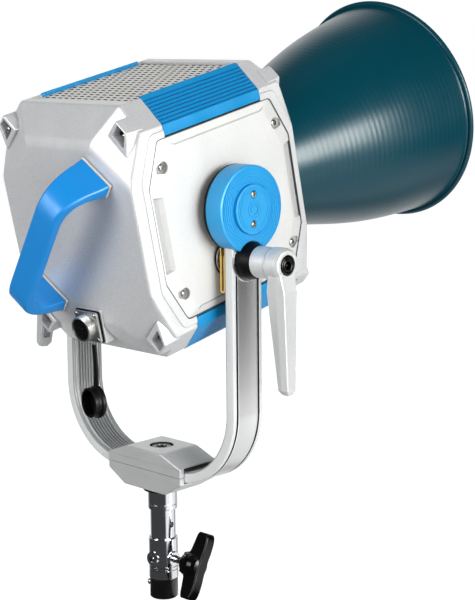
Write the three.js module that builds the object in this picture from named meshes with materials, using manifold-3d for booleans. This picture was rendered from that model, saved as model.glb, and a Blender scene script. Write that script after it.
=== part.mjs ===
// Studio spotlight head: LED lamp head with a deep bell reflector, carried in a
// U yoke on a 1-1/8 in spigot that sits in a stand socket.
// Millimetres, +Z up, +Y along the beam (front), +X to the operator's right.
// Origin: on the pan axis, at the bottom face of the stand tube.
// All three groups (stand, yoke, head) have their own origin at the tilt pivot.
import * as THREE from 'three';
import { mergeVertices } from 'three/addons/utils/BufferGeometryUtils.js';
import { ConvexGeometry } from 'three/addons/geometries/ConvexGeometry.js';
import Module from 'manifold-3d';

const wasm = await Module();
wasm.setup();

// ---------------------------------------------------------------- dimensions
const PIVOT_Z = 450;              // tilt pivot above the tube's bottom face
const TILT = 12.3;                // resting elevation of the beam, degrees
const GAP = 0.3;                  // working gap between neighbouring pieces

const HEAD_MID_Z = -2.3;          // head's mid height
const HEAD_HALF_W = 104.2;        // at the side panels
const HEAD_HALF_H = 134;
const CHAMFER_Z = 107.3;          // where the corner chamfer leaves the side
const CHAMFER_X = 78.6;           // where the corner chamfer reaches the top
const RAIL_Y0 = -66.8;            // corner extrusions, rear and front ends
const RAIL_Y1 = 74.7;
const RAIL_BAND_Z = 96.4;         // lower edge of the extrusion's flat band
const COVER_WALL = 3.2;
const GRILLE_SEAT_HALF_W = 75.8;
const PANEL_T = 4;
const CONNECTOR_Z = -100.3;
const BEAM_Z = -5.2;              // beam axis
const FAN_Z = -4;
const RIM_R = 136.6;              // reflector mouth
const RIM_Y = 396.7;
const RIM_HALF_T = 2.1;

const HUB_R = 45.3;
const HUB_X0 = 119.9;
const HUB_X1 = 141.2;
const BOSS_R = 25.8;              // raised centre of the hub cap
const BOSS_X = 144.2;
const HUB_SCREW_Z = 15.3;
const BAR_X = 122.5;              // yoke bar, inner face of the arms
const BAR_T = 11.5;
const BAR_W = 43.6;
const BAR_CORNER_R = 87;          // outer radius of the bar's corners
const BAR_OUTER_X = BAR_X + BAR_T;
const LOCK_Z = -53.2;             // lock lever axis
const LEFT_LEVER_TILT = -5;       // resting angle of the left lever, degrees

const BLOCK_TOP = -274.2;         // clamp block under the yoke
const BLOCK_BOTTOM = -319.7;
const BLOCK_SEAM_Z = -296.3;
const BLOCK_HALF_LENGTH = 58.3;
const BLOCK_HALF_DEPTH = 28.1;
const BLOCK_HALF_TOP = 27.4;      // half length of its top flat
const NECK_R = 8;                 // spigot neck, and the holes it passes through
const NECK_HOLE_R = 8.4;
const COLLAR_R = 16.6;
const COLLAR_Z = -346.3;
const PIN_R = 14.3;               // 1-1/8 in spigot: 28.6 across
const PIN_Z = -412;
const SOCKET_TOP = -379.9;
const SOCKET_BOTTOM = -427;
const SOCKET_SCREW_Z = -403;
const TUBE_R = 15.75;

const QUADRANTS = [[1, 1], [-1, 1], [1, -1], [-1, -1]];   // signs of x and z
const THIRDS = [0, 120, 240];                             // degrees
const radians = (degrees) => degrees * Math.PI / 180;

// ---------------------------------------------------------------- solids
// Welds a geometry's vertices, turns its faces outwards and makes it a solid.
function toSolid(geometry) {
  const loose = geometry.index ? geometry.toNonIndexed() : geometry;
  for (const key of Object.keys(loose.attributes)) {
    if (key !== 'position') loose.deleteAttribute(key);
  }
  const welded = mergeVertices(loose, 1e-4);
  const points = welded.attributes.position.array;
  const source = welded.index.array;
  const triangles = [];
  let volume = 0;
  for (let i = 0; i < source.length; i += 3) {
    const [a, b, c] = source.subarray(i, i + 3);
    if (a === b || b === c || a === c) continue;
    triangles.push(a, b, c);
    const [p, q, r] = [a, b, c].map((k) => new THREE.Vector3().fromArray(points, 3 * k));
    volume += p.dot(q.cross(r));
  }
  if (volume < 0) triangles.reverse();
  return new wasm.Manifold(new wasm.Mesh({
    numProp: 3,
    vertProperties: new Float32Array(points),
    triVerts: new Uint32Array(triangles),
  }));
}
const join = (first, ...rest) => rest.reduce((sum, solid) => sum.add(solid), first);
const cut = (first, ...rest) => rest.reduce((left, solid) => left.subtract(solid), first);
const mirrorX = (solid) => solid.mirror([1, 0, 0]);
const mirrorZ = (solid) => solid.mirror([0, 0, 1]);

function extrude(outline, from, to, holes) {
  const vectors = (points) => points.map(([u, v]) => new THREE.Vector2(u, v));
  const shape = new THREE.Shape(vectors(outline));
  for (const hole of holes) shape.holes.push(new THREE.Path(vectors(hole)));
  const depth = Math.abs(to - from);
  return new THREE.ExtrudeGeometry(shape, { depth, bevelEnabled: false })
    .translate(0, 0, Math.min(from, to));
}
function remap(geometry, toXYZ) {
  const p = geometry.attributes.position;
  for (let i = 0; i < p.count; i++) p.setXYZ(i, ...toXYZ(p.getX(i), p.getY(i), p.getZ(i)));
  return geometry;
}
// Prisms along an axis: the outline is in the other two axes, in x, y, z order.
const prismAlong = (toXYZ) => (outline, from, to, holes = []) =>
  toSolid(remap(extrude(outline, from, to, holes), toXYZ));
const prismX = prismAlong((u, v, along) => [along, u, v]);
const prismY = prismAlong((u, v, along) => [u, along, v]);
const prismZ = prismAlong((u, v, along) => [u, v, along]);

// Regular polygon about (cu, cv); phase is its first corner, in steps.
function polygon(radius, sides, cu = 0, cv = 0, phase = 0.5) {
  return Array.from({ length: sides }, (_, i) => {
    const angle = 2 * Math.PI * (i + phase) / sides;
    return [cu + radius * Math.cos(angle), cv + radius * Math.sin(angle)];
  });
}
// Open arc about (cu, cv), angles in degrees.
function arc(cu, cv, radius, from, to, steps) {
  return Array.from({ length: steps + 1 }, (_, i) => {
    const angle = radians(from + (to - from) * i / steps);
    return [cu + radius * Math.cos(angle), cv + radius * Math.sin(angle)];
  });
}
function rod(axis, radius, from, to, sides, cu = 0, cv = 0) {
  const prism = { x: prismX, y: prismY, z: prismZ }[axis];
  return prism(polygon(radius, sides, cu, cv), from, to);
}
function box(x0, x1, y0, y1, z0, z1) {
  const g = new THREE.BoxGeometry(Math.abs(x1 - x0), Math.abs(y1 - y0), Math.abs(z1 - z0));
  return toSolid(g.translate((x0 + x1) / 2, (y0 + y1) / 2, (z0 + z1) / 2));
}
// Profile [[radius, station], ...] turned about an axis through (cu, cv).
// One that doesn't start and end on the axis is closed into a ring.
function turned(axis, profile, segments, cu = 0, cv = 0) {
  const onAxis = profile[0][0] === 0 && profile[profile.length - 1][0] === 0;
  const points = onAxis ? profile : [...profile, profile[0]];
  const lathe = new THREE.LatheGeometry(points.map(([r, s]) => new THREE.Vector2(r, s)), segments);
  const toXYZ = {
    x: (u, along, v) => [along, cu + u, cv + v],
    y: (u, along, v) => [cu + u, along, cv + v],
    z: (u, along, v) => [cu + u, cv + v, along],
  }[axis];
  return toSolid(remap(lathe, toXYZ));
}
const convex = (points) =>
  toSolid(new ConvexGeometry(points.map((p) => new THREE.Vector3(...p))));

// ---------------------------------------------------------------- meshes
const PAINT = {
  silver: { color: 0xc9ccce, roughness: 0.42, metalness: 0.35 },
  panel: { color: 0xd9dad8, roughness: 0.4, metalness: 0.3 },
  blue: { color: 0x1b86dc, roughness: 0.38, metalness: 0.25 },
  alu: { color: 0xc4c6c6, roughness: 0.35, metalness: 0.75 },
  lever: { color: 0xd4d6d6, roughness: 0.35, metalness: 0.5 },
  black: { color: 0x101113, roughness: 0.5, metalness: 0 },
  rubber: { color: 0x0d0e0f, roughness: 0.75, metalness: 0 },
  chrome: { color: 0xd8dadd, roughness: 0.08, metalness: 1 },
  brass: { color: 0xd8b265, roughness: 0.3, metalness: 1 },
  steel: { color: 0xb9b6b0, roughness: 0.3, metalness: 1 },
  bell: { color: 0x174a59, roughness: 0.3, metalness: 0.4 },
  led: { color: 0xe6c23c, roughness: 0.6, metalness: 0 },
  glass: { color: 0xdfeef2, roughness: 0.05, metalness: 0 },
  board: { color: 0x1d5a36, roughness: 0.6, metalness: 0 },
  mesh: { color: 0xa9a9a4, roughness: 0.5, metalness: 0.6 },
};
function addPiece(group, name, solid, paint) {
  const { vertProperties, numProp, triVerts } = solid.getMesh();
  const positions = new Float32Array(vertProperties.length / numProp * 3);
  for (let i = 0; i < positions.length / 3; i++) {
    for (let k = 0; k < 3; k++) positions[3 * i + k] = vertProperties[numProp * i + k];
  }
  const geometry = new THREE.BufferGeometry();
  geometry.setAttribute('position', new THREE.BufferAttribute(positions, 3));
  geometry.setIndex(new THREE.BufferAttribute(new Uint32Array(triVerts), 1));
  geometry.computeVertexNormals();
  const mesh = new THREE.Mesh(geometry, new THREE.MeshStandardMaterial(PAINT[paint]));
  mesh.name = name;
  group.add(mesh);
  return mesh;
}
// Adds a right-hand piece and its mirror image; returns the left mesh.
function addPair(group, name, solid, paint) {
  addPiece(group, `${name}_right`, solid, paint);
  return addPiece(group, `${name}_left`, mirrorX(solid), paint);
}

// ================================================================ stand end
// closed at its bottom face, with a neck inside the socket
const standTube = () => turned('z', [
  [0, -PIVOT_Z], [TUBE_R, -PIVOT_Z], [TUBE_R, SOCKET_BOTTOM - GAP], [14.2, SOCKET_BOTTOM - GAP],
  [14.2, -418], [12, -418], [12, -444], [0, -444]], 24);

// two screw bosses, to the right and to the rear; the rear one stays empty
function standSocket() {
  const bossR = 8.2;
  const bossEnd = 18.6;
  const holeR = 4.4;
  return cut(
    join(rod('z', COLLAR_R, SOCKET_BOTTOM, SOCKET_TOP, 28),
      rod('x', bossR, 0, bossEnd, 14, 0, SOCKET_SCREW_Z),
      rod('y', bossR, -bossEnd, 0, 14, 0, SOCKET_SCREW_Z)),
    rod('z', 14.7, -430, -370, 28),
    rod('x', holeR, 10, 22, 12, 0, SOCKET_SCREW_Z),
    rod('y', holeR, -22, -10, 12, 0, SOCKET_SCREW_Z));
}

// drawn on +X, then swung round the tube
const tubeRivet = () => turned('x', [
  [0, TUBE_R + GAP], [3.6, TUBE_R + GAP], [3.2, 17.2], [1.8, 18.3], [0, 18.6]], 12, 0, -434);

const wingScrewShank = () => turned('x', [
  [0, 14.9], [3.2, 14.9], [4, 16], [4, 33.8], [0, 33.8]], 14, 0, SOCKET_SCREW_Z);

// T grip about its own axis; the wings lie along z before it is turned
function wingScrewGrip() {
  const upperWing = [   // x, z
    [59, 8], [60, 20], [61.5, 33], [56, 37.5], [50.5, 35.5], [48.5, 27], [45.5, 11], [34.5, 8]];
  const lowerWing = upperWing.map(([x, z]) => [x, -z]).reverse();
  // the lower wing is a little deeper at x 59 to 61.5 only in the order of its points
  const wings = prismY([...lowerWing, ...upperWing], -5.2, 5.2);
  const core = turned('x', [
    [0, 34.2], [9.2, 34.2], [10.8, 38.5], [11.4, 48.5], [8.5, 56.5], [0, 59.7]], 16);
  return join(wings, core);
}

const stand = new THREE.Group();
addPiece(stand, 'stand_tube', standTube(), 'black');
addPiece(stand, 'stand_socket', standSocket(), 'chrome');
addPiece(stand, 'tube_rivet', tubeRivet(), 'steel').rotation.z = radians(218);
addPiece(stand, 'wing_screw_shank', wingScrewShank(), 'chrome');
const grip = addPiece(stand, 'wing_screw_grip', wingScrewGrip(), 'black');
grip.position.z = SOCKET_SCREW_Z;
grip.rotation.x = radians(-25);

// ================================================================ yoke base
// neck and collar over a pin with a cross hole and a chamfered end
const juniorSpigot = () => cut(
  turned('z', [[0, PIN_Z], [12.6, PIN_Z], [PIN_R, -409.5], [PIN_R, COLLAR_Z],
    [COLLAR_R, COLLAR_Z], [COLLAR_R, -322.9], [NECK_R, -322.9], [NECK_R, -306.4],
    [0, -306.4]], 28),
  rod('x', 3.2, -20, 20, 12, 0, -364),
  rod('z', 4.6, -330, -290, 12));

const blockWasher = () => cut(
  rod('z', 20.5, -322.6, BLOCK_BOTTOM - GAP, 24),
  rod('z', NECK_HOLE_R, -324, -318, 16));

// part of the clamp block between two heights, with the slot for the bar
function blockHalf(bottom, top) {
  const shoulderZ = BLOCK_SEAM_Z + 10.5;
  const skirtZ = BLOCK_SEAM_Z - 8.5;
  const halfBottom = BLOCK_HALF_TOP + 5;
  const outline = [   // x, z
    [-BLOCK_HALF_TOP, BLOCK_TOP], [BLOCK_HALF_TOP, BLOCK_TOP],
    [BLOCK_HALF_LENGTH, shoulderZ], [BLOCK_HALF_LENGTH, skirtZ],
    [halfBottom, BLOCK_BOTTOM], [-halfBottom, BLOCK_BOTTOM],
    [-BLOCK_HALF_LENGTH, skirtZ], [-BLOCK_HALF_LENGTH, shoulderZ]];
  // flared upwards at both ends, where the bar curves up
  const slot = [[-70, -284], [-36, -290.6], [36, -290.6], [70, -284], [70, -303.3], [-70, -303.3]];
  const slotHalfW = BAR_W / 2 + 0.4;
  return cut(
    prismY(outline, -BLOCK_HALF_DEPTH, BLOCK_HALF_DEPTH)
      .intersect(box(-70, 70, -40, 40, bottom, top)),
    prismY(slot, -slotHalfW, slotHalfW));
}
const blockUpper = () => cut(
  blockHalf(BLOCK_SEAM_Z + GAP / 2, 0),
  turned('z', [[0, -274], [15, -274], [12.4, -279.2], [12.4, -286.4], [5.4, -286.4],
    [5.4, -292], [0, -292]], 20));
const blockLower = () => cut(
  blockHalf(-400, BLOCK_SEAM_Z - GAP / 2),
  rod('z', NECK_HOLE_R, -325, -300, 16));

// hexagon head, flange and shank, down through the block into the spigot
const blockBolt = () => join(
  prismZ(polygon(9.2, 6, 0, 0, 0), -285.9, -279.4),
  rod('z', 11.6, -286.1, -284.6, 16),
  rod('z', 4.2, -318, -285.5, 12));

// U bar: vertical arms, large corners, flat base; two grooves down its outer face
function yokeBar() {
  const cornerX = BAR_OUTER_X - BAR_CORNER_R;
  const cornerZ = BLOCK_SEAM_Z - BAR_T / 2 - 0.6 + BAR_CORNER_R;
  const rightSide = (r) => [[cornerX + r, 0], ...arc(cornerX, cornerZ, r, 0, -90, 9)];
  const flip = (points) => points.map(([x, z]) => [-x, z]);
  const outline = (outerR) => {
    const outer = rightSide(outerR);
    const inner = rightSide(BAR_CORNER_R - BAR_T);
    return [...outer, ...flip(outer).reverse(), ...flip(inner), ...inner.reverse()];
  };
  const halfW = BAR_W / 2;
  const full = outline(BAR_CORNER_R);
  const grooved = outline(BAR_CORNER_R - 1.3);
  // strips side by side across the bar, overlapping a little so that they fuse
  const strips = [
    prismY(full, -halfW, -16.2),
    prismY(grooved, -16.3, -13.6),
    prismY(full, -13.7, 13.7),
    prismY(grooved, 13.6, 16.3),
    prismY(full, 16.2, halfW)];
  const roundEnd = [...arc(0, 0, halfW, 0, 180, 10), [-halfW, -1], [halfW, -1]];
  const ends = [1, -1].map((side) => prismX(roundEnd, side * BAR_X, side * BAR_OUTER_X));
  return cut(join(...strips, ...ends),
    rod('x', 10.35, -150, 150, 20),
    rod('x', 4.5, -150, 150, 12, 0, LOCK_Z),
    rod('z', NECK_HOLE_R, -310, -280, 16));
}

const yoke = new THREE.Group();
addPiece(yoke, 'junior_spigot', juniorSpigot(), 'chrome');
addPiece(yoke, 'block_washer', blockWasher(), 'rubber');
addPiece(yoke, 'block_upper', blockUpper(), 'alu');
addPiece(yoke, 'block_lower', blockLower(), 'alu');
addPiece(yoke, 'block_bolt', blockBolt(), 'black');
addPiece(yoke, 'yoke_bar', yokeBar(), 'alu');

// ================================================================ hub and lock, right side
// drum over the bar's end, with the bar slot and a notch over the lock
function hubCap() {
  const drum = turned('x', [
    [0, HUB_X0], [HUB_R, HUB_X0], [HUB_R, HUB_X1 - 1.6], [HUB_R - 1.6, HUB_X1],
    [BOSS_R, HUB_X1], [BOSS_R, BOSS_X], [0, BOSS_X]], 32);
  const slotR = 22.3;
  const slot = [...arc(0, 0, slotR, 0, 180, 10), [-slotR, -60], [slotR, -60]];
  return cut(drum,
    prismX(slot, 110, BAR_OUTER_X + GAP),
    rod('x', 13, 130, 139, 16),
    rod('x', 20.4, 110, 160, 24, 0, LOCK_Z),
    rod('x', 3.9, 141.6, 150, 10, 0, HUB_SCREW_Z),
    rod('x', 3.9, 141.6, 150, 10, 0, -HUB_SCREW_Z));
}
const hubScrew = (z) => cut(
  turned('x', [[0, 141.9], [3.5, 141.9], [3.5, 143.6], [2.4, 144.8], [0, 144.8]], 10, 0, z),
  prismX(polygon(1.5, 6, 0, z), 143.6, 150));

// strip folded round its lower end, its two leaves on either side of the brake
// disc, with the lock bolt through both below the disc's rim
function brakeCaliper() {
  const [innerX0, innerX1] = [114.6, 115.9];   // inboard leaf
  const [outerX0, outerX1] = [120.4, 121.9];   // outboard leaf
  const midX = (innerX0 + outerX1) / 2;
  const foldZ = -84;
  const topZ = -24;
  const outline = [
    [outerX1, topZ], ...arc(midX, foldZ, (outerX1 - innerX0) / 2, 0, -180, 8),
    [innerX0, topZ], [innerX1, topZ],
    ...arc(midX, foldZ, (outerX0 - innerX1) / 2, -180, 0, 8), [outerX0, topZ]];
  return cut(prismY(outline, -20.5, 20.5), rod('x', 4.6, 100, 130, 12, 0, LOCK_Z));
}

const turnedOnLock = (profile, segments) => turned('x', profile, segments, 0, LOCK_Z);
// round head inboard, shank through the caliper and the bar
const lockBolt = () => join(
  turnedOnLock([[0, 109.4], [9.5, 109.4], [11, 110.6], [11, 114.3], [0, 114.3]], 16),
  rod('x', 4.1, 114, 176, 12, 0, LOCK_Z));
const lockWasher = () => turnedOnLock([
  [4.5, BAR_OUTER_X + GAP], [19.6, BAR_OUTER_X + GAP], [19.8, 136.2], [19.2, 142],
  [17, 151.6], [4.5, 151.6]], 20);
const clampNut = () => turnedOnLock([
  [4.5, 151.9], [16.5, 151.9], [16.5, 167.6], [8.6, 167.6], [8.6, 180.4], [4.5, 180.4]], 20);
const leverCapScrew = () => cut(
  turnedOnLock([[0, 180.8], [6.4, 180.8], [6.4, 186.2], [10.3, 186.2], [10.3, 190.6],
    [9.4, 191.4], [0, 191.4]], 16),
  prismX(polygon(3.4, 6, 0, LOCK_Z), 186, 195));

// hub over the nut, tapering faceted arm hanging clear of the yoke
function lockLever() {
  const hub = turnedOnLock([
    [0, 168], [16.4, 168], [17.6, 172], [17.6, 186.6], [15, 190.3], [0, 190.3]], 20);
  // x, half width in y, z
  const bothEdges = (rows) => rows.flatMap(([x, y, z]) => [[x, -y, z], [x, y, z]]);
  const rootZ = LOCK_Z - 8;
  const arm = convex(bothEdges([
    [176, 14, rootZ], [186, 14, rootZ], [190.2, 11, rootZ],
    [173, 13.4, -80], [186, 13.4, -80], [193.8, 9.6, -80],
    [184, 8.4, -182], [189, 8.4, -182], [195.2, 6, -182],
    [186, 4, -187], [193.4, 3.6, -187]]));
  const hollow = convex(bothEdges([
    [160, 9.6, -78], [187, 9, -78], [160, 5.4, -176], [190.5, 4.6, -176]]));
  return cut(join(hub, arm), hollow,
    rod('x', 9, 160, 182, 16, 0, LOCK_Z),
    rod('x', 10.8, 181.4, 200, 16, 0, LOCK_Z));
}

addPair(yoke, 'hub_cap', hubCap(), 'blue');
addPair(yoke, 'hub_screw_upper', hubScrew(HUB_SCREW_Z), 'steel');
addPair(yoke, 'hub_screw_lower', hubScrew(-HUB_SCREW_Z), 'steel');
addPair(yoke, 'brake_caliper', brakeCaliper(), 'brass');
addPair(yoke, 'lock_bolt', lockBolt(), 'steel');
addPair(yoke, 'lock_washer', lockWasher(), 'black');
const leftLeverParts = [
  addPair(yoke, 'clamp_nut', clampNut(), 'lever'),
  addPair(yoke, 'lever_cap_screw', leverCapScrew(), 'black'),
  addPair(yoke, 'lock_lever', lockLever(), 'lever')];
// the left lever hangs turned a little about the lock axis
for (const part of leftLeverParts) {
  const angle = radians(LEFT_LEVER_TILT);
  part.rotation.x = angle;
  part.position.set(0, LOCK_Z * Math.sin(angle), LOCK_Z - LOCK_Z * Math.cos(angle));
}

// ================================================================ head shell
// drawn about the head's mid height, then moved to it
const toMidHeight = (solid) => solid.translate([0, 0, HEAD_MID_Z]);

// closed outline of the side panel (y, z), corners eased, grown by a margin
function panelOutline(margin) {
  const upper = [[-99, 49.8], [-77.8, 94.3], [88.3, 94.3], [109.5, 49.8]];
  const corners = [...upper, ...upper.map(([y, z]) => [y, -z]).reverse()];
  const midY = (upper[0][0] + upper[3][0]) / 2;
  const ease = 5;
  const towards = ([y, z], [toY, toZ]) => {
    const length = Math.hypot(toY - y, toZ - z);
    return [y + (toY - y) * ease / length, z + (toZ - z) * ease / length];
  };
  const count = corners.length;
  return corners
    .flatMap((corner, i) => [
      towards(corner, corners[(i + count - 1) % count]),
      towards(corner, corners[(i + 1) % count])])
    .map(([y, z]) => [y + Math.sign(y - midY) * margin, z + Math.sign(z) * margin]);
}

// End covers. Depths are measured back from the flat end face.
const REAR = {
  side: -1, faceY: -121, railY: RAIL_Y0, cornerDepth: 23, sideDepth: 3.6,
  lugY: -113, grilleSeatY: -82.4,
};
const FRONT = {
  side: 1, faceY: 120.5, railY: RAIL_Y1, cornerDepth: 12.65, sideDepth: 2.8,
  lugY: 113.5, grilleSeatY: 80.3,
};
// flat end face, sloping facets and chamfered corners, inset by a wall thickness
function coverHull({ side, faceY, cornerDepth, sideDepth }, seamY, inset) {
  const half = inset / 2;
  const endY = faceY - side * inset;
  const sideX = HEAD_HALF_W - inset;
  const topZ = HEAD_HALF_H - inset;
  const points = [
    [50 - half, endY, 99.3 - inset],
    [101.2 - inset, endY, 58.5 - half],
    [CHAMFER_X - half, faceY - side * 26, topZ],
    [sideX, faceY - side * (cornerDepth + half), CHAMFER_Z - half],
    [sideX, faceY - side * (sideDepth + half), 57],
    [sideX, seamY, CHAMFER_Z - half],
    [CHAMFER_X - half, seamY, topZ]];
  return convex(points.flatMap(([x, y, z]) => QUADRANTS.map(([sx, sz]) => [sx * x, y, sz * z])));
}
function cornerLugs({ side, lugY }) {
  const face = [[88.6, 123.4], [100.6, 111.4], [94, 85.5], [72.1, 107.8]];   // x, z
  const root = [[88.6, 123.6], [101.2, 111], [97, 76], [62, 108.5]];
  return QUADRANTS.map(([sx, sz]) => convex([
    ...face.map(([x, z]) => [sx * x, lugY, sz * z]),
    ...root.map(([x, z]) => [sx * x, side * 92, sz * z])]));
}
function lugPockets({ side, lugY }) {
  const pocket = [[89.4, 118.8], [97.8, 111.6], [92.4, 95.5], [79.4, 108.4]];   // x, z
  return QUADRANTS.map(([sx, sz]) =>
    prismY(pocket.map(([x, z]) => [sx * x, sz * z]), lugY + side, lugY - side * 8.5));
}
function endCover(end, bore, extras = []) {
  const { side, railY, grilleSeatY } = end;
  const seamY = railY + side * GAP;
  const octagon = prismY([
    [HEAD_HALF_W, CHAMFER_Z], [CHAMFER_X, HEAD_HALF_H],
    [-CHAMFER_X, HEAD_HALF_H], [-HEAD_HALF_W, CHAMFER_Z],
    [-HEAD_HALF_W, -CHAMFER_Z], [-CHAMFER_X, -HEAD_HALF_H],
    [CHAMFER_X, -HEAD_HALF_H], [HEAD_HALF_W, -CHAMFER_Z]], seamY, side * 140);
  const lugs = cornerLugs(end).map((lug) => lug.intersect(octagon));
  const panelSeat = prismX(panelOutline(0.4), HEAD_HALF_W - PANEL_T - GAP, 120);
  const grilleSeat = box(-GRILLE_SEAT_HALF_W, GRILLE_SEAT_HALF_W, 0, grilleSeatY, 120, 150);
  return toMidHeight(cut(
    join(coverHull(end, seamY, 0), ...lugs, ...extras),
    coverHull(end, railY - side * 5, COVER_WALL),
    ...lugPockets(end),
    panelSeat, mirrorX(panelSeat), grilleSeat, mirrorZ(grilleSeat), bore));
}
function rearCover() {
  const connectorPad = box(-19.4, 19.4, -122.4, -104, -117, -79.4);
  const bore = rod('y', 12.6, -130, -100, 16, 0, CONNECTOR_Z - HEAD_MID_Z);
  return endCover(REAR, bore, [connectorPad]);
}
const frontCover = () =>
  endCover(FRONT, rod('y', 60.5, 100, 130, 32, 0, BEAM_Z - HEAD_MID_Z));

// flush edge, raised centre with bevelled shoulders, screw pockets
function sidePanel() {
  const edge = panelOutline(0);
  const raised = panelOutline(-10.5);
  const pockets = [[-78.8, -1], [89.3, 1]].flatMap(([y, side]) => [66.8, -66.8].map((z) => {
    // round towards the panel's middle, drawn out to a blunt tail at its end
    const start = side < 0 ? -100 : 80;
    const tailY = y + side * 8.4;
    const tail = [[tailY, z + (z > 0 ? 2 : 5)], [tailY, z - (z > 0 ? 5 : 2)]];
    if (side > 0) tail.reverse();
    return prismX([...arc(y, z, 5.4, start, start + 200, 7), ...tail], HEAD_HALF_W - 1.8, 120);
  }));
  return toMidHeight(cut(
    join(prismX(edge, HEAD_HALF_W - PANEL_T, HEAD_HALF_W - 0.6),
      convex([
        ...edge.map(([y, z]) => [HEAD_HALF_W - 0.9, y, z]),
        ...raised.map(([y, z]) => [HEAD_HALF_W + 0.9, y, z])])),
    ...pockets,
    rod('x', 10.6, 90, 120, 20, 0, -HEAD_MID_Z)));
}

// corner extrusion: flat band, grooved sloping face, small lip along the top
function cornerRail() {
  const runX = CHAMFER_X - HEAD_HALF_W;
  const runZ = HEAD_HALF_H - CHAMFER_Z;
  const length = Math.hypot(runX, runZ);
  const grooves = 8;
  const groove = [[0.2, 0], [0.28, 1.5], [0.72, 1.5], [0.8, 0]];   // share of pitch, depth
  const outline = [[HEAD_HALF_W, RAIL_BAND_Z], [HEAD_HALF_W, CHAMFER_Z]];
  for (let i = 0; i < grooves; i++) {
    for (const [share, depth] of groove) {
      const along = (i + share) / grooves * 0.94 + 0.03;
      outline.push([
        HEAD_HALF_W + runX * along - runZ / length * depth,
        CHAMFER_Z + runZ * along + runX / length * depth]);
    }
  }
  outline.push(
    [CHAMFER_X, HEAD_HALF_H], [76.4, HEAD_HALF_H + 1.6], [75.9, HEAD_HALF_H + 1.6],
    [75.9, HEAD_HALF_H - 4.4], [77, HEAD_HALF_H - 4.4], [99.9, CHAMFER_Z - 1.6],
    [99.9, RAIL_BAND_Z]);
  return prismY(outline, RAIL_Y0, RAIL_Y1);
}

function ventGrille() {
  const slots = Array.from({ length: 12 }, (_, i) => {
    const y = -75 + i * 13.2;
    return [[-66, y], [66, y], [66, y + 5.4], [-66, y + 5.4]];
  });
  const outline = [[-75.5, -82], [75.5, -82], [75.5, 80], [-75.5, 80]];
  return prismZ(outline, 129.2, 131.2, slots);
}

const head = new THREE.Group();
addPiece(head, 'rear_cover', rearCover(), 'silver');
addPiece(head, 'front_cover', frontCover(), 'silver');
addPair(head, 'side_panel', sidePanel(), 'panel');
addPair(head, 'rail_top', toMidHeight(cornerRail()), 'blue');
addPair(head, 'rail_bottom', toMidHeight(mirrorZ(cornerRail())), 'blue');
addPiece(head, 'grille_top', toMidHeight(ventGrille()), 'mesh');
addPiece(head, 'grille_bottom', toMidHeight(mirrorZ(ventGrille())), 'mesh');

// ---------------------------------------------------------------- rear face
// Drawn with x along the handle and z across it, then laid diagonally in the
// rear face's plane (column-major matrix; it also mirrors).
function layDiagonally(solid) {
  const c = 0.621;
  const s = 0.784;
  return solid.transform([c, 0, s, 0, 0, 1, 0, 0, s, 0, -c, 0, -0.6, 0, -2.6, 1]);
}
function carryHandle() {
  const bow = [   // x, y: outer edge, then inner edge
    [-93.5, -124.6], [-91.4, -134], [-89.8, -149], [-85.4, -163.5], [-78, -173.2],
    [-67, -178.4], [-54, -180], [50, -180], [62, -178.4], [74, -172.5], [83, -161],
    [88.6, -147], [91, -134], [93.5, -124.6],
    [78, -124.6], [77, -146], [73.5, -157], [65, -164.6], [52, -168.4],
    [-52, -168.4], [-65, -164.6], [-73.5, -157], [-77, -146], [-78, -124.6]];
  const taper = [   // y, half width: narrows towards the grip
    [-124.5, 22.2], [-140, 20.6], [-158, 18.2], [-172, 15.6], [-181, 13.4]];
  const envelope = [...taper, ...taper.map(([y, z]) => [y, -z]).reverse()];
  return layDiagonally(prismZ(bow, -22.2, 22.2).intersect(prismX(envelope, -100, 100)));
}
const handlePad = (side) =>
  layDiagonally(box(side * 77, side * 94.6, -124.2, -121.3, -22.8, 22.8));

const connectorPlate = (halfW, halfH, y0, y1, holes) => prismY([
  [-halfW, CONNECTOR_Z - halfH], [halfW, CONNECTOR_Z - halfH],
  [halfW, CONNECTOR_Z + halfH], [-halfW, CONNECTOR_Z + halfH]], y0, y1, holes);
const connectorRod = (radius, y0, y1, sides) => rod('y', radius, y0, y1, sides, 0, CONNECTOR_Z);
const connectorGasket = () =>
  connectorPlate(18.6, 17.6, -124.2, -122.7, [polygon(12.6, 16, 0, CONNECTOR_Z)]);
// flanged barrel
const connectorSocket = () => cut(
  join(connectorPlate(17.6, 16.6, -127.4, -124.5),
    turned('y', [[0, -137.6], [13, -137.6], [13, -131], [12, -131], [12, -110], [0, -110]],
      20, 0, CONNECTOR_Z)),
  connectorRod(11, -140, -133, 16),
  connectorRod(9.4, -134, -112, 16));
const connectorInsert = () => join(
  connectorRod(10.6, -136.2, -133.3, 16),
  connectorRod(9, -133.4, -112.5, 12));

addPiece(head, 'carry_handle', carryHandle(), 'blue');
addPiece(head, 'handle_pad_upper', handlePad(1), 'silver');
addPiece(head, 'handle_pad_lower', handlePad(-1), 'silver');
addPiece(head, 'connector_gasket', connectorGasket(), 'rubber');
addPiece(head, 'connector_socket', connectorSocket(), 'steel');
addPiece(head, 'connector_insert', connectorInsert(), 'black');

// ---------------------------------------------------------------- pivot
const pivotShaft = () => turned('x', [
  [0, 86], [15, 86], [15, 92.6], [10, 92.6], [10, 105.6], [20, 105.6], [20, 114.2],
  [12, 114.2], [12, 119.6], [10, 119.6], [10, 137], [0, 137]], 18);
const brakeDisc = () => turned('x', [
  [12.4, 116.4], [HUB_R, 116.4], [HUB_R, 119.5], [12.4, 119.5]], 32);

addPair(head, 'pivot_shaft', pivotShaft(), 'steel');
addPair(head, 'brake_disc', brakeDisc(), 'black');

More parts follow.
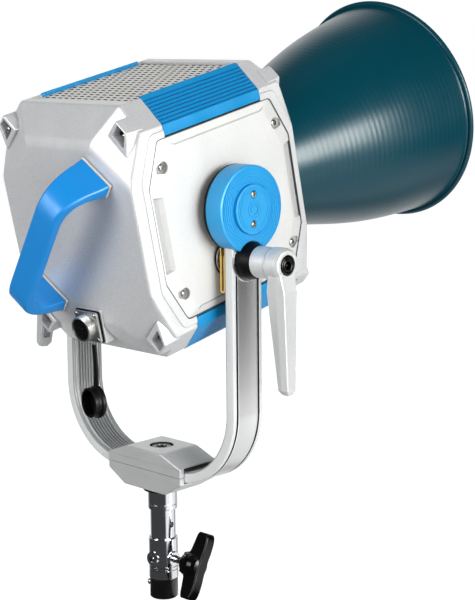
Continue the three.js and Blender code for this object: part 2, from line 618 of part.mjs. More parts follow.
// ---------------------------------------------------------------- inside
// cross plate for the light engine and two side plates for the pivots
const chassis = () => cut(
  join(box(-96, 96, 92, 95, -70, 65),
    box(92.9, 96, -60, 94, -62, 58),
    box(-96, -92.9, -60, 94, -62, 58)),
  rod('x', 10.5, -110, 110, 16),
  rod('y', 40, 80, 110, 20, 0, BEAM_Z),
  box(-110, 110, -40, -18, -40, 40));

// base plate with fins to the rear
function heatSink() {
  const [fins, pitch, halfT] = [12, 11.6, 1.2];
  const [finY, rootY, baseY] = [10, 72, 80];
  const comb = [[-66, baseY], [-66, rootY]];
  for (let i = 0; i < fins; i++) {
    const x = (i - (fins - 1) / 2) * pitch;
    comb.push([x - halfT, rootY], [x - halfT, finY], [x + halfT, finY], [x + halfT, rootY]);
  }
  comb.push([66, rootY], [66, baseY]);
  return prismZ(comb, -62, 54);
}

const ledModule = () => join(
  box(-32, 32, 80.3, 85, BEAM_Z - 32, BEAM_Z + 32),
  rod('y', 20, 84, 86.6, 20, 0, BEAM_Z));

// square frame with a hub on three arms
function fanFrame() {
  const frame = cut(box(-60, 60, -18, 7, -64, 56), rod('y', 56, -30, 20, 24, 0, FAN_Z));
  const arms = THIRDS.map((degrees) => {
    const c = Math.cos(radians(degrees));
    const s = Math.sin(radians(degrees));
    const corners = [[12, 2], [57, 2], [57, -2], [12, -2]];   // along the arm, across it
    return prismY(corners.map(([u, v]) => [c * u - s * v, FAN_Z + s * u + c * v]), -18, -14.5);
  });
  return cut(join(frame, rod('y', 17, -18, -13, 14, 0, FAN_Z), ...arms),
    rod('y', 4.4, -30, 0, 14, 0, FAN_Z));
}
function fanRotor() {
  const hub = turned('y', [
    [0, -16.5], [4, -16.5], [4, -12.5], [18, -12.5], [18, 4], [0, 4]], 14, 0, FAN_Z);
  const bladeCorners = [   // radius, angle in radians, y
    [16, -0.2, -10], [16, -0.1, -10], [16, 0.35, 3], [16, 0.45, 3],
    [53, -0.17, -10], [53, -0.13, -10], [53, 0.3, 3], [53, 0.34, 3]];
  const count = 7;
  const blades = Array.from({ length: count }, (_, i) => {
    const turn = i * 2 * Math.PI / count;
    return convex(bladeCorners.map(([r, angle, y]) =>
      [r * Math.cos(turn + angle), y, FAN_Z + r * Math.sin(turn + angle)]));
  });
  return join(hub, ...blades);
}

// board with its tallest parts
const controlBoard = () => join(
  box(-60, 60, -96, -94.2, -60, 56),
  box(-46, -20, -94.4, -80, 10, 40),
  rod('y', 8, -94.4, -72, 10, 25, 30),
  rod('y', 8, -94.4, -72, 10, 25, 8),
  box(-40, 34, -94.4, -86, -44, -22));

// ring sector about the beam axis
const sector = (outerR, innerR, from, to, outerSteps, y0, y1) => prismY([
  ...arc(0, BEAM_Z, outerR, from, to, outerSteps),
  ...arc(0, BEAM_Z, innerR, from, to, 2).reverse()], y0, y1);

// bayonet ring, its lip open in three places
const mountRing = () => cut(
  turned('y', [[51, 108], [60, 108], [60, 123.6], [46, 123.6], [46, 119.4], [51, 119.4]],
    30, 0, BEAM_Z),
  ...THIRDS.map((angle) => sector(50.6, 40, angle + 18, angle + 42, 4, 119, 124)));

const coverGlass = () => rod('y', 49, 102, 105, 28, 0, BEAM_Z);

// bell with a rolled rim and three bayonet tabs on its neck
function reflector() {
  const bell = turned('y', [
    [43.6, 112], [45.3, 112], [45.3, 124.2], [61, 124.2], [65.6, 130], [75.6, 160],
    [91.2, 210], [106.8, 260], [118.6, 310], [126.2, 360], [130.4, 391],
    [RIM_R, RIM_Y - RIM_HALF_T], [RIM_R, RIM_Y + RIM_HALF_T], [129.6, RIM_Y + RIM_HALF_T],
    [124.2, 360], [116.6, 310], [104.8, 260], [89.2, 210], [73.6, 160], [62.6, 126.6],
    [43.6, 126.6]], 32, 0, BEAM_Z);
  const tabs = THIRDS.map((angle) => sector(49.6, 44.4, angle - 9, angle + 9, 3, 112.6, 118.4));
  return join(bell, ...tabs);
}

// latch button for the bayonet, below the ring
const mountLatch = () => join(
  box(-6, 6, 120.9, 123.7, -76, -66),
  box(-8, 8, 120.9, 126.4, -86, -75));

addPiece(head, 'chassis', chassis(), 'steel');
addPiece(head, 'heat_sink', heatSink(), 'alu');
addPiece(head, 'led_module', ledModule(), 'led');
addPiece(head, 'fan_frame', fanFrame(), 'black');
addPiece(head, 'fan_rotor', fanRotor(), 'black');
addPiece(head, 'control_board', controlBoard(), 'board');
addPiece(head, 'mount_ring', mountRing(), 'steel');
addPiece(head, 'cover_glass', coverGlass(), 'glass');
addPiece(head, 'reflector', reflector(), 'bell');
addPiece(head, 'mount_latch', mountLatch(), 'black');

// ================================================================ connector cap
// rubber cap hanging on its strap below the connector flange
function connectorCap() {
  const [strapX, strapY, strapTop] = [3.5, -97.8, -145];
  const capZ = -206.2;
  const corners = (x0, x1, y0, y1, z) => [[x0, y0, z], [x1, y0, z], [x0, y1, z], [x1, y1, z]];
  const strap = convex([
    ...corners(strapX - 2.4, strapX + 2.4, strapY - 1.4, strapY + 1.4, strapTop),
    ...corners(strapX - 0.2, strapX + 5.4, strapY, strapY + 3, capZ + 15.6)]);
  const cap = turned('y', [
    [0, 0], [16.4, 0], [17.7, -1.4], [17.7, -4.8], [16, -6], [16, -13.4], [13.4, -13.4],
    [13.4, -3.4], [0, -3.4]], 24);
  return join(strap, cap.rotate([0, 0, -11.5]).translate([7, strapY + 3.4, capZ]));
}
addPiece(yoke, 'connector_cap', connectorCap(), 'rubber');

// ================================================================ assembly
const lamp = new THREE.Group();
lamp.name = 'studio_spotlight';
for (const group of [stand, yoke, head]) {
  group.position.z = PIVOT_Z;
  lamp.add(group);
}
head.rotation.x = radians(TILT);

export default lamp;
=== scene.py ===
"""Studio spotlight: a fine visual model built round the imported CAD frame.

The tilt pivot runs along X, 0.45 m above the floor. The head points its reflector at +Y and is
tilted up about the pivot; the U-shaped yoke hangs below, on a stand socket. Rear is -Y, right +X.
Shapes are in millimetres with the pivot at the origin, in the head's tilted frame or in the
upright frame of yoke and stand. show() turns them into metres.
"""
import math
from contextlib import contextmanager

import bmesh
import bpy
import numpy as np
from mathutils import Matrix, Vector

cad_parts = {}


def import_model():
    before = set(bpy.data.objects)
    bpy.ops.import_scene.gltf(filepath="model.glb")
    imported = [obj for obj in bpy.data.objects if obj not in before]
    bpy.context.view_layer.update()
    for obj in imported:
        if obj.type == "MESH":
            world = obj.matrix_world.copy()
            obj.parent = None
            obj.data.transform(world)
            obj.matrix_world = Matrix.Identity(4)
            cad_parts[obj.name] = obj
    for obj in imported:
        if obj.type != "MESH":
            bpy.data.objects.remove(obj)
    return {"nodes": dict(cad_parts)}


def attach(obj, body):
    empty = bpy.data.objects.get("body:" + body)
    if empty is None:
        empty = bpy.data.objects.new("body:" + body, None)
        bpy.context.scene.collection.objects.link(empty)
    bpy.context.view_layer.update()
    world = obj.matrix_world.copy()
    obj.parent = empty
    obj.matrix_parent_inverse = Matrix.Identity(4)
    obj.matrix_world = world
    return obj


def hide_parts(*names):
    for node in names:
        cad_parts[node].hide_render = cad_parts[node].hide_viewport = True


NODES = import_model()["nodes"]
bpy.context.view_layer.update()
SCENE = bpy.context.scene
PI = math.pi

# ---------------------------------------------------------------- frames and shared sizes
PIVOT = Matrix.Translation((0, 0, 0.45))
HEAD = PIVOT @ Matrix.Rotation(math.radians(12.3), 4, "X")
HEAD_BODIES = ("head", "reflector", "mount_latch")

# the housing is an octagonal prism along Y; its shapes are drawn round its own centre
HOUSING_Z = -2.3                # its centre, from the pivot
HALF_W, HALF_H = 104.2, 134.0
CHAMFER_X, CHAMFER_Z = 78.6, 107.3      # where the chamfer meets the top and the side
HOUSING = Matrix.Translation((0, 0, HOUSING_Z))

REFLECTOR_Z = -5.2
LOCK_Z = -53.2
REFLECTOR_AT, LOCK_AT = (0, REFLECTOR_Z), (0, LOCK_Z)
SEAM_Z = -296.3                 # between the halves of the clamp block

SAME = Matrix.Identity(4)
MIRROR_X = Matrix.Diagonal((-1, 1, 1, 1))
MIRROR_Z = Matrix.Diagonal((1, 1, -1, 1))
SIDES = {"right": SAME, "left": MIRROR_X}
CORNERS = [(across, up) for across in (1, -1) for up in (1, -1)]


# ---------------------------------------------------------------- 2D outlines
def neighbours(outline, i):
    """The points before, at and after index i."""
    return (Vector(outline[k]) for k in (i - 1, i, (i + 1) % len(outline)))


def soften(outline, radius, steps=4, closed=True):
    """Rounds the corners of an outline; radius is one number or one per corner."""
    rounded = []
    for i, corner in enumerate(outline):
        size = radius[i] if isinstance(radius, (list, tuple)) else radius
        before, here, after = neighbours(outline, i)
        back, ahead = before - here, after - here
        back_length, ahead_length = back.length, ahead.length
        is_end = not closed and i in (0, len(outline) - 1)
        if is_end or size <= 0 or min(back_length, ahead_length) < 1e-6:
            rounded.append(corner)
            continue
        back /= back_length
        ahead /= ahead_length
        angle = math.acos(max(-1, min(1, back.dot(ahead))))
        if angle > PI - 0.05 or angle < 0.05:
            rounded.append(corner)
            continue
        reach = min(size / math.tan(angle / 2), back_length * 0.48, ahead_length * 0.48)
        start, end = here + back * reach, here + ahead * reach
        for k in range(steps + 1):
            t = k / steps
            point = start * (1 - t) ** 2 + here * (2 * t * (1 - t)) + end * t * t
            rounded.append((point.x, point.y))
    return rounded


def soften_each(corners, steps):
    """Rounds an outline given as (a, b, corner radius)."""
    return soften([corner[:2] for corner in corners], [corner[2] for corner in corners], steps)


def inset(outline, depth):
    """Moves an outline inwards by depth, corner by corner."""
    pairs = zip(outline, outline[1:] + outline[:1])
    area = sum(p[0] * q[1] - q[0] * p[1] for p, q in pairs)
    turn = 1 if area > 0 else -1
    result = []
    for i in range(len(outline)):
        before, here, after = neighbours(outline, i)
        back, ahead = here - before, after - here
        if min(back.length, ahead.length) < 1e-7:
            result.append(tuple(here))
            continue
        back.normalize()
        ahead.normalize()
        back_normal = Vector((-back.y, back.x)) * turn
        ahead_normal = Vector((-ahead.y, ahead.x)) * turn
        move = back_normal + ahead_normal
        if move.length < 1e-6:
            move = back_normal
        else:
            move /= max(0.35, (1 + back_normal.dot(ahead_normal)))
        result.append((here.x + move.x * depth, here.y + move.y * depth))
    return result


def ring(radius, count, centre=(0.0, 0.0), phase=0.5):
    angles = [2 * PI * (i + phase) / count for i in range(count)]
    return [(centre[0] + radius * math.cos(t), centre[1] + radius * math.sin(t)) for t in angles]


def arc(centre, radius, start, end, steps):
    """Points along an arc; the angles are in degrees."""
    angles = [math.radians(start + (end - start) * i / steps) for i in range(steps + 1)]
    return [(centre[0] + radius * math.cos(t), centre[1] + radius * math.sin(t)) for t in angles]


def sector(outer, inner, start, end, outer_steps, inner_steps):
    """Part of a ring round the reflector axis."""
    inside = arc(REFLECTOR_AT, inner, start, end, inner_steps)
    return arc(REFLECTOR_AT, outer, start, end, outer_steps) + inside[::-1]


def strip(path, half_width):
    """Outline of a strip along a path."""
    left, right = [], []
    for i, (x, y) in enumerate(path):
        before = Vector(path[max(0, i - 1)])
        along = (Vector(path[min(len(path) - 1, i + 1)]) - before).normalized()
        side = Vector((-along.y, along.x)) * half_width
        left.append((x + side.x, y + side.y))
        right.append((x - side.x, y - side.y))
    return left + right[::-1]


def spline_point(before, start, end, after, t):
    """Catmull-Rom point at t between start and end."""
    return tuple(0.5 * (2 * b + (c - a) * t + (2 * a - 5 * b + 4 * c - d) * t * t
                        + (3 * b - a - 3 * c + d) * t ** 3)
                 for a, b, c, d in zip(before, start, end, after))


def line_point(start, end, t):
    return tuple(a + (b - a) * t for a, b in zip(start, end))


# ---------------------------------------------------------------- solids
@contextmanager
def editing(mesh):
    """Opens a mesh for editing and writes it back."""
    work = bmesh.new()
    work.from_mesh(mesh)
    yield work
    work.to_mesh(mesh)
    work.free()


def mesh_from(points, faces):
    mesh = bpy.data.meshes.new("mesh")
    mesh.from_pydata(points, [], faces)
    with editing(mesh) as work:
        bmesh.ops.recalc_face_normals(work, faces=work.faces)
    return mesh


def place(axis, a, b, along):
    """a and b lie on the two axes left over, in x, y, z order."""
    return {"x": (along, a, b), "y": (a, along, b), "z": (a, b, along)}[axis]


def loft(loops):
    """Capped skin through loops of equal length."""
    count, last = len(loops[0]), len(loops) - 1
    faces = []
    for i in range(last):
        for k in range(count):
            m = (k + 1) % count
            faces.append((i * count + k, i * count + m, (i + 1) * count + m, (i + 1) * count + k))
    faces.append(tuple(range(count)))
    faces.append(tuple(range(last * count, (last + 1) * count)))
    return mesh_from([point for loop in loops for point in loop], faces)


def stack(axis, levels):
    """Loft through (outline, station) levels along an axis."""
    return loft([[place(axis, a, b, along) for a, b in outline] for outline, along in levels])


def prism(outline, start, end, axis="z", rim=0.0, steps=3, rims=None):
    """Extruded outline with rounded rims; rims sets the start and end apart."""
    first, last = rims or (rim, rim)
    quarter = [PI / 2 * k / steps for k in range(steps + 1)]
    levels = [(0, start)]
    if first > 0:
        levels = [(first * (1 - math.sin(t)), start + first * (1 - math.cos(t))) for t in quarter]
    if last > 0:
        levels += [(last * (1 - math.cos(t)), end - last * (1 - math.sin(t))) for t in quarter]
    else:
        levels.append((0, end))
    return stack(axis, [(inset(outline, depth) if depth > 1e-6 else outline, along)
                        for depth, along in levels])


def rod(axis, radius, start, end, count=48, centre=(0.0, 0.0), rim=0.0):
    return prism(ring(radius, count, centre), start, end, axis, rim)


def box(x, y, z):
    """Box between pairs of limits."""
    return prism([(x[0], y[0]), (x[1], y[0]), (x[1], y[1]), (x[0], y[1])], *z)


def lathe(axis, profile, count=96, centre=(0.0, 0.0), fillet=0.0, steps=3):
    """Turned solid; the (radius, station) profile starts and ends on the axis, or closes up."""
    on_axis = profile[0][0] < 1e-9 and profile[-1][0] < 1e-9
    if fillet:
        profile = soften(profile, fillet, steps, closed=not on_axis)
    points, rows, faces = [], [], []
    for radius, along in profile:
        if radius < 1e-9:
            rows.append([len(points)] * count)
            points.append(place(axis, *centre, along))
        else:
            rows.append(list(range(len(points), len(points) + count)))
            points += [place(axis, a, b, along) for a, b in ring(radius, count, centre)]
    for i in range(len(rows) - 1 if on_axis else len(rows)):
        row, above = rows[i], rows[(i + 1) % len(rows)]
        for k in range(count):
            m = (k + 1) % count
            face = tuple(dict.fromkeys((row[k], row[m], above[m], above[k])))
            if len(face) > 2:
                faces.append(face)
    return mesh_from(points, faces)


def hull(points):
    work = bmesh.new()
    for point in points:
        work.verts.new(point)
    bmesh.ops.convex_hull(work, input=work.verts)
    loose = [vert for vert in work.verts if not vert.link_faces]
    bmesh.ops.delete(work, geom=loose, context="VERTS")
    bmesh.ops.dissolve_limit(work, angle_limit=math.radians(2.2), verts=work.verts,
                             edges=work.edges)
    bmesh.ops.recalc_face_normals(work, faces=work.faces)
    mesh = bpy.data.meshes.new("hull")
    work.to_mesh(mesh)
    work.free()
    return mesh


def join(*meshes):
    joined = bpy.data.meshes.new("joined")
    with editing(joined) as work:
        for mesh in meshes:
            work.from_mesh(mesh)
    return joined


def evaluated(mesh, kind, tool=None, **settings):
    """Applies one modifier; tool is the second mesh of a boolean."""
    holders = [bpy.data.objects.new("holder", mesh)]
    modifier = holders[0].modifiers.new("step", kind)
    if tool is not None:
        holders.append(bpy.data.objects.new("tool", tool))
        modifier.object = holders[1]
    for holder in holders:
        SCENE.collection.objects.link(holder)
    for key, value in settings.items():
        setattr(modifier, key, value)
    graph = bpy.context.evaluated_depsgraph_get()
    result = bpy.data.meshes.new_from_object(holders[0].evaluated_get(graph))
    for holder in holders:
        bpy.data.objects.remove(holder)
    return result


def bevel(mesh, width, steps=3, angle=25, weights=None, clamp=True):
    """Rounds edges sharper than angle; weights(start, end) scales the width edge by edge."""
    if weights:
        with editing(mesh) as work:
            layer = work.edges.layers.float.new("bevel_weight_edge")
            for edge in work.edges:
                bent = edge.calc_face_angle(0) > 0.02
                edge[layer] = weights(edge.verts[0].co, edge.verts[1].co) if bent else 0
    return evaluated(mesh, "BEVEL", width=width, segments=steps,
                     limit_method="WEIGHT" if weights else "ANGLE",
                     angle_limit=math.radians(angle), use_clamp_overlap=clamp,
                     miter_outer="MITER_ARC")


def clean(mesh, merge=0.001):
    with editing(mesh) as work:
        bmesh.ops.remove_doubles(work, verts=work.verts, dist=merge)
        bmesh.ops.dissolve_degenerate(work, edges=work.edges, dist=0.0005)
    return mesh


def combine(mesh, *steps):
    """Joins (+), cuts (-) or intersects (&) with each mesh that follows the sign."""
    operations = {"-": "DIFFERENCE", "+": "UNION", "&": "INTERSECT"}
    for step in steps:
        if isinstance(step, str):
            operation = operations[step]
            continue
        # the fast solver gives nothing when a mesh isn't closed
        for solver in ("MANIFOLD", "EXACT"):
            result = evaluated(mesh, "BOOLEAN", step, operation=operation, solver=solver)
            if len(result.polygons) > 0:
                break
        mesh = result
    return mesh


def moved(mesh, *steps):
    """A copy moved by each matrix in turn."""
    mesh = mesh.copy()
    for matrix in steps:
        mesh.transform(matrix)
        if matrix.determinant() < 0:
            mesh.flip_normals()
    return mesh


# ---------------------------------------------------------------- materials
MATERIALS = {}


def linear(colour):
    """Linear colour from sRGB 0..255."""
    return tuple(c / 255 / 12.92 if c <= 10 else ((c / 255 + 0.055) / 1.055) ** 2.4
                 for c in colour)


class Nodes:
    """Short calls for building a node tree."""

    def __init__(self, owner):
        owner.use_nodes = True
        self.tree = owner.node_tree
        self.tree.nodes.clear()

    def link(self, source, target):
        self.tree.links.new(source, target)

    def add(self, kind, inputs=None, output=0, **settings):
        """Adds a node; an input is a value or a socket. Returns one output socket."""
        node = self.tree.nodes.new("ShaderNode" + kind)
        for key, value in settings.items():
            setattr(node, key, value)
        for key, value in (inputs or {}).items():
            if isinstance(value, bpy.types.NodeSocket):
                self.link(value, node.inputs[key])
            else:
                node.inputs[key].default_value = value
        return node.outputs[output]

    def finish(self, kind, shader):
        self.link(shader, self.tree.nodes.new("ShaderNodeOutput" + kind).inputs[0])

    def calc(self, operation, *values):
        return self.add("Math", dict(enumerate(values)), operation=operation)

    def ramp(self, factor, low, high, start=0.3, end=0.7, **settings):
        """Maps start..end of a factor to low..high."""
        return self.add("MapRange", {0: factor, 1: start, 2: end, 3: low, 4: high}, **settings)

    def smooth(self, factor, low, high, start, end):
        return self.ramp(factor, low, high, start, end, interpolation_type="SMOOTHSTEP")


class Material(Nodes):
    """A principled material; its textures use the object's own coordinates, in metres."""

    def __init__(self, name, colour, rough, metal=0.0, coat=0.0, coat_rough=0.1, specular=0.5):
        material = bpy.data.materials.new(name)
        super().__init__(material)
        MATERIALS[name] = material
        rgba = (*linear(colour), 1)
        surface = self.add("BsdfPrincipled", {
            "Base Color": rgba, "Roughness": rough, "Metallic": metal, "Coat Weight": coat,
            "Coat Roughness": coat_rough, "Specular IOR Level": specular})
        self.surface = surface.node
        self.finish("Material", surface)
        self.place = self.add("TexCoord", output="Object")
        self.normal = None
        material.diffuse_color = rgba

    def noise(self, scale, detail=3.0, rough=0.5, stretch=None, vector=None):
        vector = vector or self.place
        if stretch:
            vector = self.add("Mapping", {0: vector, "Scale": stretch})
        return self.add("TexNoise", {"Scale": scale, "Detail": detail, "Roughness": rough,
                                     "Vector": vector}, "Fac")

    def base(self):
        """The colour so far, as a socket or a value."""
        colour = self.surface.inputs["Base Color"]
        if colour.is_linked:
            return colour.links[0].from_socket
        return tuple(colour.default_value)[:3]

    def shade(self, factor):
        """Multiplies the colour by a factor."""
        scaled = self.add("VectorMath", {0: self.base(), "Scale": factor}, operation="SCALE")
        self.link(scaled, self.surface.inputs["Base Color"])

    def tint(self, factor, colour):
        """Mixes another colour over what is there."""
        mixed = self.add("Mix", {6: self.base(), 7: (*linear(colour), 1), 0: factor}, 2,
                         data_type="RGBA")
        self.link(mixed, self.surface.inputs["Base Color"])

    def roughness(self, factor):
        self.link(factor, self.surface.inputs["Roughness"])

    def bump(self, height, distance, strength=1.0):
        inputs = {"Strength": strength, "Distance": distance, "Height": height}
        if self.normal:
            inputs["Normal"] = self.normal
        self.normal = self.add("Bump", inputs)
        self.link(self.normal, self.surface.inputs["Normal"])

    def axes(self):
        return self.add("SeparateXYZ", {0: self.place}).node.outputs

    def line(self, socket):
        """A texture vector that varies with one value only."""
        return self.add("CombineXYZ", {0: socket})

    def radius(self, axis, centre=(0.0, 0.0)):
        """Distance from an axis."""
        x, y, z = self.axes()
        pair = {"x": (y, z), "y": (x, z), "z": (x, y)}[axis]
        a, b = [self.calc("SUBTRACT", side, at) for side, at in zip(pair, centre)]
        squares = self.calc("ADD", self.calc("MULTIPLY", a, a), self.calc("MULTIPLY", b, b))
        return self.calc("SQRT", squares)


def painted(name, colour, rough, metal=0.0, coat=0.0, grain=2600.0, depth=20e-6, vary=0.05,
            specular=0.5, fleck=0.0, flecks=None, painted_recess_shade=0.0):
    """Powder coat or satin paint: orange-peel grain, slight clouds, rubbed patches.

    grain is the noise scale, depth its height in metres, vary the spread of brightness,
    fleck the share of the flecks colour; the last argument darkens recesses by ambient occlusion,
    as painted shade.
    """
    paint = Material(name, colour, rough, metal, coat, coat_rough=0.15, specular=specular)
    fine = paint.noise(scale=grain, detail=2.0, rough=0.6)
    broad = paint.noise(scale=9.0, detail=4.0, rough=0.55)
    paint.shade(paint.ramp(broad, 1 - vary, 1 + vary * 0.6))
    paint.shade(paint.ramp(fine, 1 - vary * 0.8, 1 + vary * 0.8, start=0.35, end=0.65))
    if fleck:
        spots = paint.noise(scale=2300.0, detail=1.0, rough=0.5)
        paint.tint(paint.ramp(spots, 0.0, fleck, start=0.52, end=0.72), flecks)
        mottle = paint.noise(scale=1500.0, detail=2.0, rough=0.6)
        paint.shade(paint.ramp(mottle, 1 - fleck * 0.32, 1 + fleck * 0.18, start=0.32, end=0.68))
    smear = paint.noise(scale=38.0, detail=5.0, rough=0.6, stretch=(1, 1, 0.35))
    paint.roughness(paint.ramp(smear, rough - 0.05, rough + 0.07))
    paint.bump(fine, depth, strength=0.6)
    paint.bump(paint.noise(scale=420.0, detail=2.0), depth * 1.6, strength=0.35)
    # painted shade: the colour darkens where ambient occlusion finds a recess nearby
    if painted_recess_shade:
        open_share = paint.add("AmbientOcclusion", {"Distance": 0.005}, "AO", samples=6)
        paint.shade(paint.ramp(open_share, 1 - painted_recess_shade, 1.0, start=0.35, end=0.95))
    return paint


def turned_metal(name, colour, rough, axis, centre=(0.0, 0.0)):
    """Metal with fine lathe rings round an axis."""
    pitch, depth, vary = 0.0009, 10e-6, 0.06
    metal = Material(name, colour, rough, metal=1.0)
    rings = metal.noise(1 / pitch, detail=2.0, rough=0.6,
                        vector=metal.line(metal.radius(axis, centre)))
    metal.shade(metal.ramp(rings, 1 - vary, 1 + vary))
    metal.roughness(metal.ramp(metal.noise(scale=60.0, detail=4.0), rough - 0.04, rough + 0.08))
    metal.bump(rings, depth, strength=0.7)
    metal.bump(metal.noise(scale=2500.0, detail=2.0), depth, strength=0.25)


def brushed(name, colour, rough, stretch=(1, 1, 1), metal=1.0, depth=10e-6, vary=0.07,
            grain=700.0):
    """Metal with a fine grain, drawn out by stretch."""
    brush = Material(name, colour, rough, metal)
    lines = brush.noise(grain, detail=3.0, rough=0.65, stretch=stretch)
    brush.shade(brush.ramp(lines, 1 - vary, 1 + vary))
    brush.shade(brush.ramp(brush.noise(scale=14.0, detail=4.0), 0.95, 1.03))
    brush.roughness(brush.ramp(brush.noise(scale=55.0, detail=4.0), rough - 0.05, rough + 0.08))
    brush.bump(lines, depth, strength=0.8)
    brush.bump(brush.noise(scale=2300.0, detail=2.0), depth, strength=0.4)


painted("silver_paint", (210, 211, 212), rough=0.38, metal=0.30, fleck=0.5,
        flecks=(240, 242, 245), vary=0.035, depth=18e-6, painted_recess_shade=0.45)
painted("panel_paint", (212, 213, 211), rough=0.42, metal=0.12, fleck=0.3,
        flecks=(250, 250, 250), vary=0.02, depth=16e-6, painted_recess_shade=0.5)
# darker copy of the panel paint: painted shade for the floors of the recesses
painted("panel_recess_painted_shade", (172, 173, 173), rough=0.45, metal=0.1, fleck=0.3,
        flecks=(230, 230, 230), vary=0.02, depth=16e-6, painted_recess_shade=0.4)
painted("blue_rail", (19, 146, 208), rough=0.32, metal=0.20, vary=0.03, depth=12e-6)
# darker blue: painted shade for the floors of the rail grooves
painted("rail_floor_painted_shade", (6, 84, 140), rough=0.4, metal=0.1, depth=12e-6)
painted("blue_coat", (13, 132, 208), rough=0.40, metal=0.05, vary=0.03, depth=30e-6,
        grain=1700.0)
painted("yoke_aluminium", (200, 202, 202), rough=0.34, metal=0.35, fleck=0.3,
        flecks=(238, 240, 242), vary=0.04, depth=18e-6)
painted("diecast", (200, 202, 202), rough=0.36, metal=0.30, fleck=0.3,
        flecks=(246, 247, 248), vary=0.035, depth=22e-6)
painted("black_plastic", (7, 7, 8), rough=0.40, specular=0.13, vary=0.12, depth=30e-6,
        grain=1500.0)
painted("black_rubber", (7, 7, 8), rough=0.42, vary=0.15, depth=40e-6, grain=1100.0,
        specular=0.16)
painted("black_tube", (9, 9, 10), rough=0.22, coat=0.3, vary=0.1, depth=8e-6)
painted("circuit_board", (24, 84, 50), rough=0.42, vary=0.2)
painted("mesh_metal", (222, 221, 217), rough=0.45, metal=0.35)
painted("black_gloss", (6, 6, 7), rough=0.22, coat=0.22, specular=0.12, vary=0.1, depth=6e-6)
painted("seal_grey", (66, 66, 66), rough=0.7, vary=0.1, specular=0.2)
painted("bar_aluminium", (220, 222, 222), rough=0.34, metal=0.12, fleck=0.25,
        flecks=(245, 246, 247), vary=0.03, depth=16e-6)
# darker copies of the bar's paint: painted shade on the inner face and in the grooves
painted("bar_inside_painted_shade", (158, 160, 160), rough=0.34, metal=0.25, fleck=0.25,
        flecks=(225, 226, 227), vary=0.03, depth=16e-6)
painted("bar_outer_grooves_painted_shade", (44, 45, 46), rough=0.5, metal=0.2, vary=0.1, specular=0.25)
painted("bar_inner_grooves_painted_shade", (120, 122, 122), rough=0.45, metal=0.3, vary=0.06)
painted("bolt_oxide", (118, 120, 122), rough=0.3, metal=0.7, vary=0.06, depth=8e-6)
# near-black for painted shade in recesses: under the grilles, in the counterbore and in the bolt
# socket
painted("dark_recess", (14, 14, 15), rough=0.6, vary=0.1)
brushed("chrome", (222, 224, 228), rough=0.09, depth=2e-6, vary=0.03, grain=900.0)
brushed("brass", (232, 196, 120), rough=0.36, stretch=(1, 6, 0.2), metal=0.75, depth=4e-6)
brushed("steel", (196, 192, 186), rough=0.26, depth=8e-6)
turned_metal("turned_steel_x", (206, 206, 204), rough=0.24, axis="x")
turned_metal("turned_steel_y", (214, 214, 212), rough=0.32, axis="y", centre=(0.0, -0.1026))
turned_metal("screw_steel", (190, 180, 166), rough=0.24, axis="x")
turned_metal("turned_ring", (190, 190, 188), rough=0.26, axis="y",
             centre=(0.0, REFLECTOR_Z / 1000))


def bar_face():
    face = Material("bar_face", (206, 207, 207), rough=0.27, metal=0.85)
    face.shade(face.ramp(face.noise(scale=1500.0, detail=2.0, rough=0.6), 0.95, 1.04))
    grain = face.noise(scale=900.0, detail=2.0, rough=0.6, stretch=(1, 1, 0.05))
    face.bump(grain, 4e-6, strength=0.5)


def hub_blue():
    """Blue paint over turned rings."""
    paint = painted("hub_blue", (24, 152, 212), rough=0.36, metal=0.06, vary=0.02, depth=12e-6)
    rings = paint.noise(scale=900.0, detail=2.0, rough=0.6,
                        vector=paint.line(paint.radius("x")))
    paint.bump(rings, 30e-6, strength=0.5)
    paint.shade(paint.ramp(rings, 0.965, 1.035))


def bell_outside():
    """Teal coat with spinning marks along Y."""
    coat = Material("teal_spun", (0, 60, 73), rough=0.40, coat=0.34, coat_rough=0.22,
                    specular=0.12)
    along = coat.line(coat.axes()[1])
    fine = coat.noise(scale=620.0, detail=3.0, rough=0.6, vector=along)
    wide = coat.noise(scale=150.0, detail=2.0, rough=0.5, vector=along)
    coat.shade(coat.ramp(fine, 0.93, 1.07))
    coat.shade(coat.ramp(coat.noise(scale=5.0, detail=3.0), 0.94, 1.05))
    coat.roughness(coat.ramp(coat.noise(scale=40.0, detail=3.0), 0.29, 0.35))
    coat.bump(wide, 40e-6, strength=0.5)
    coat.bump(fine, 30e-6, strength=0.5)
    coat.bump(coat.noise(scale=2400.0, detail=2.0), 10e-6, strength=0.4)


def bell_inside():
    """Silver with spinning marks along Y."""
    silver = Material("silver_reflector", (222, 224, 226), rough=0.26, metal=0.78)
    marks = silver.noise(scale=480.0, detail=3.0, rough=0.6,
                         vector=silver.line(silver.axes()[1]))
    silver.shade(silver.ramp(marks, 0.93, 1.04))
    silver.roughness(silver.ramp(silver.noise(scale=120.0, detail=3.0), 0.2, 0.32))
    silver.bump(marks, 30e-6, strength=0.5)
    silver.bump(silver.noise(scale=900.0, detail=2.0), 12e-6, strength=0.4)


def phosphor():
    """Yellow with a regular grid of cells."""
    yellow = Material("led_phosphor", (236, 198, 66), rough=0.5, coat=0.3)
    cells = yellow.add("TexVoronoi", {"Scale": 420.0, "Randomness": 0.0,
                                      "Vector": yellow.place},
                       "Distance", feature="DISTANCE_TO_EDGE")
    yellow.shade(yellow.ramp(cells, 0.72, 1.08, start=0.02, end=0.12))
    yellow.bump(cells, 200e-6, strength=0.4)


def glass():
    clear = Material("glass", (236, 243, 245), rough=0.03)
    clear.surface.inputs["Transmission Weight"].default_value = 0.95
    clear.surface.inputs["IOR"].default_value = 1.15
    clear.roughness(clear.ramp(clear.noise(scale=90.0, detail=4.0), 0.01, 0.06))


for make_material in (bar_face, hub_blue, bell_outside, bell_inside, phosphor, glass):
    make_material()


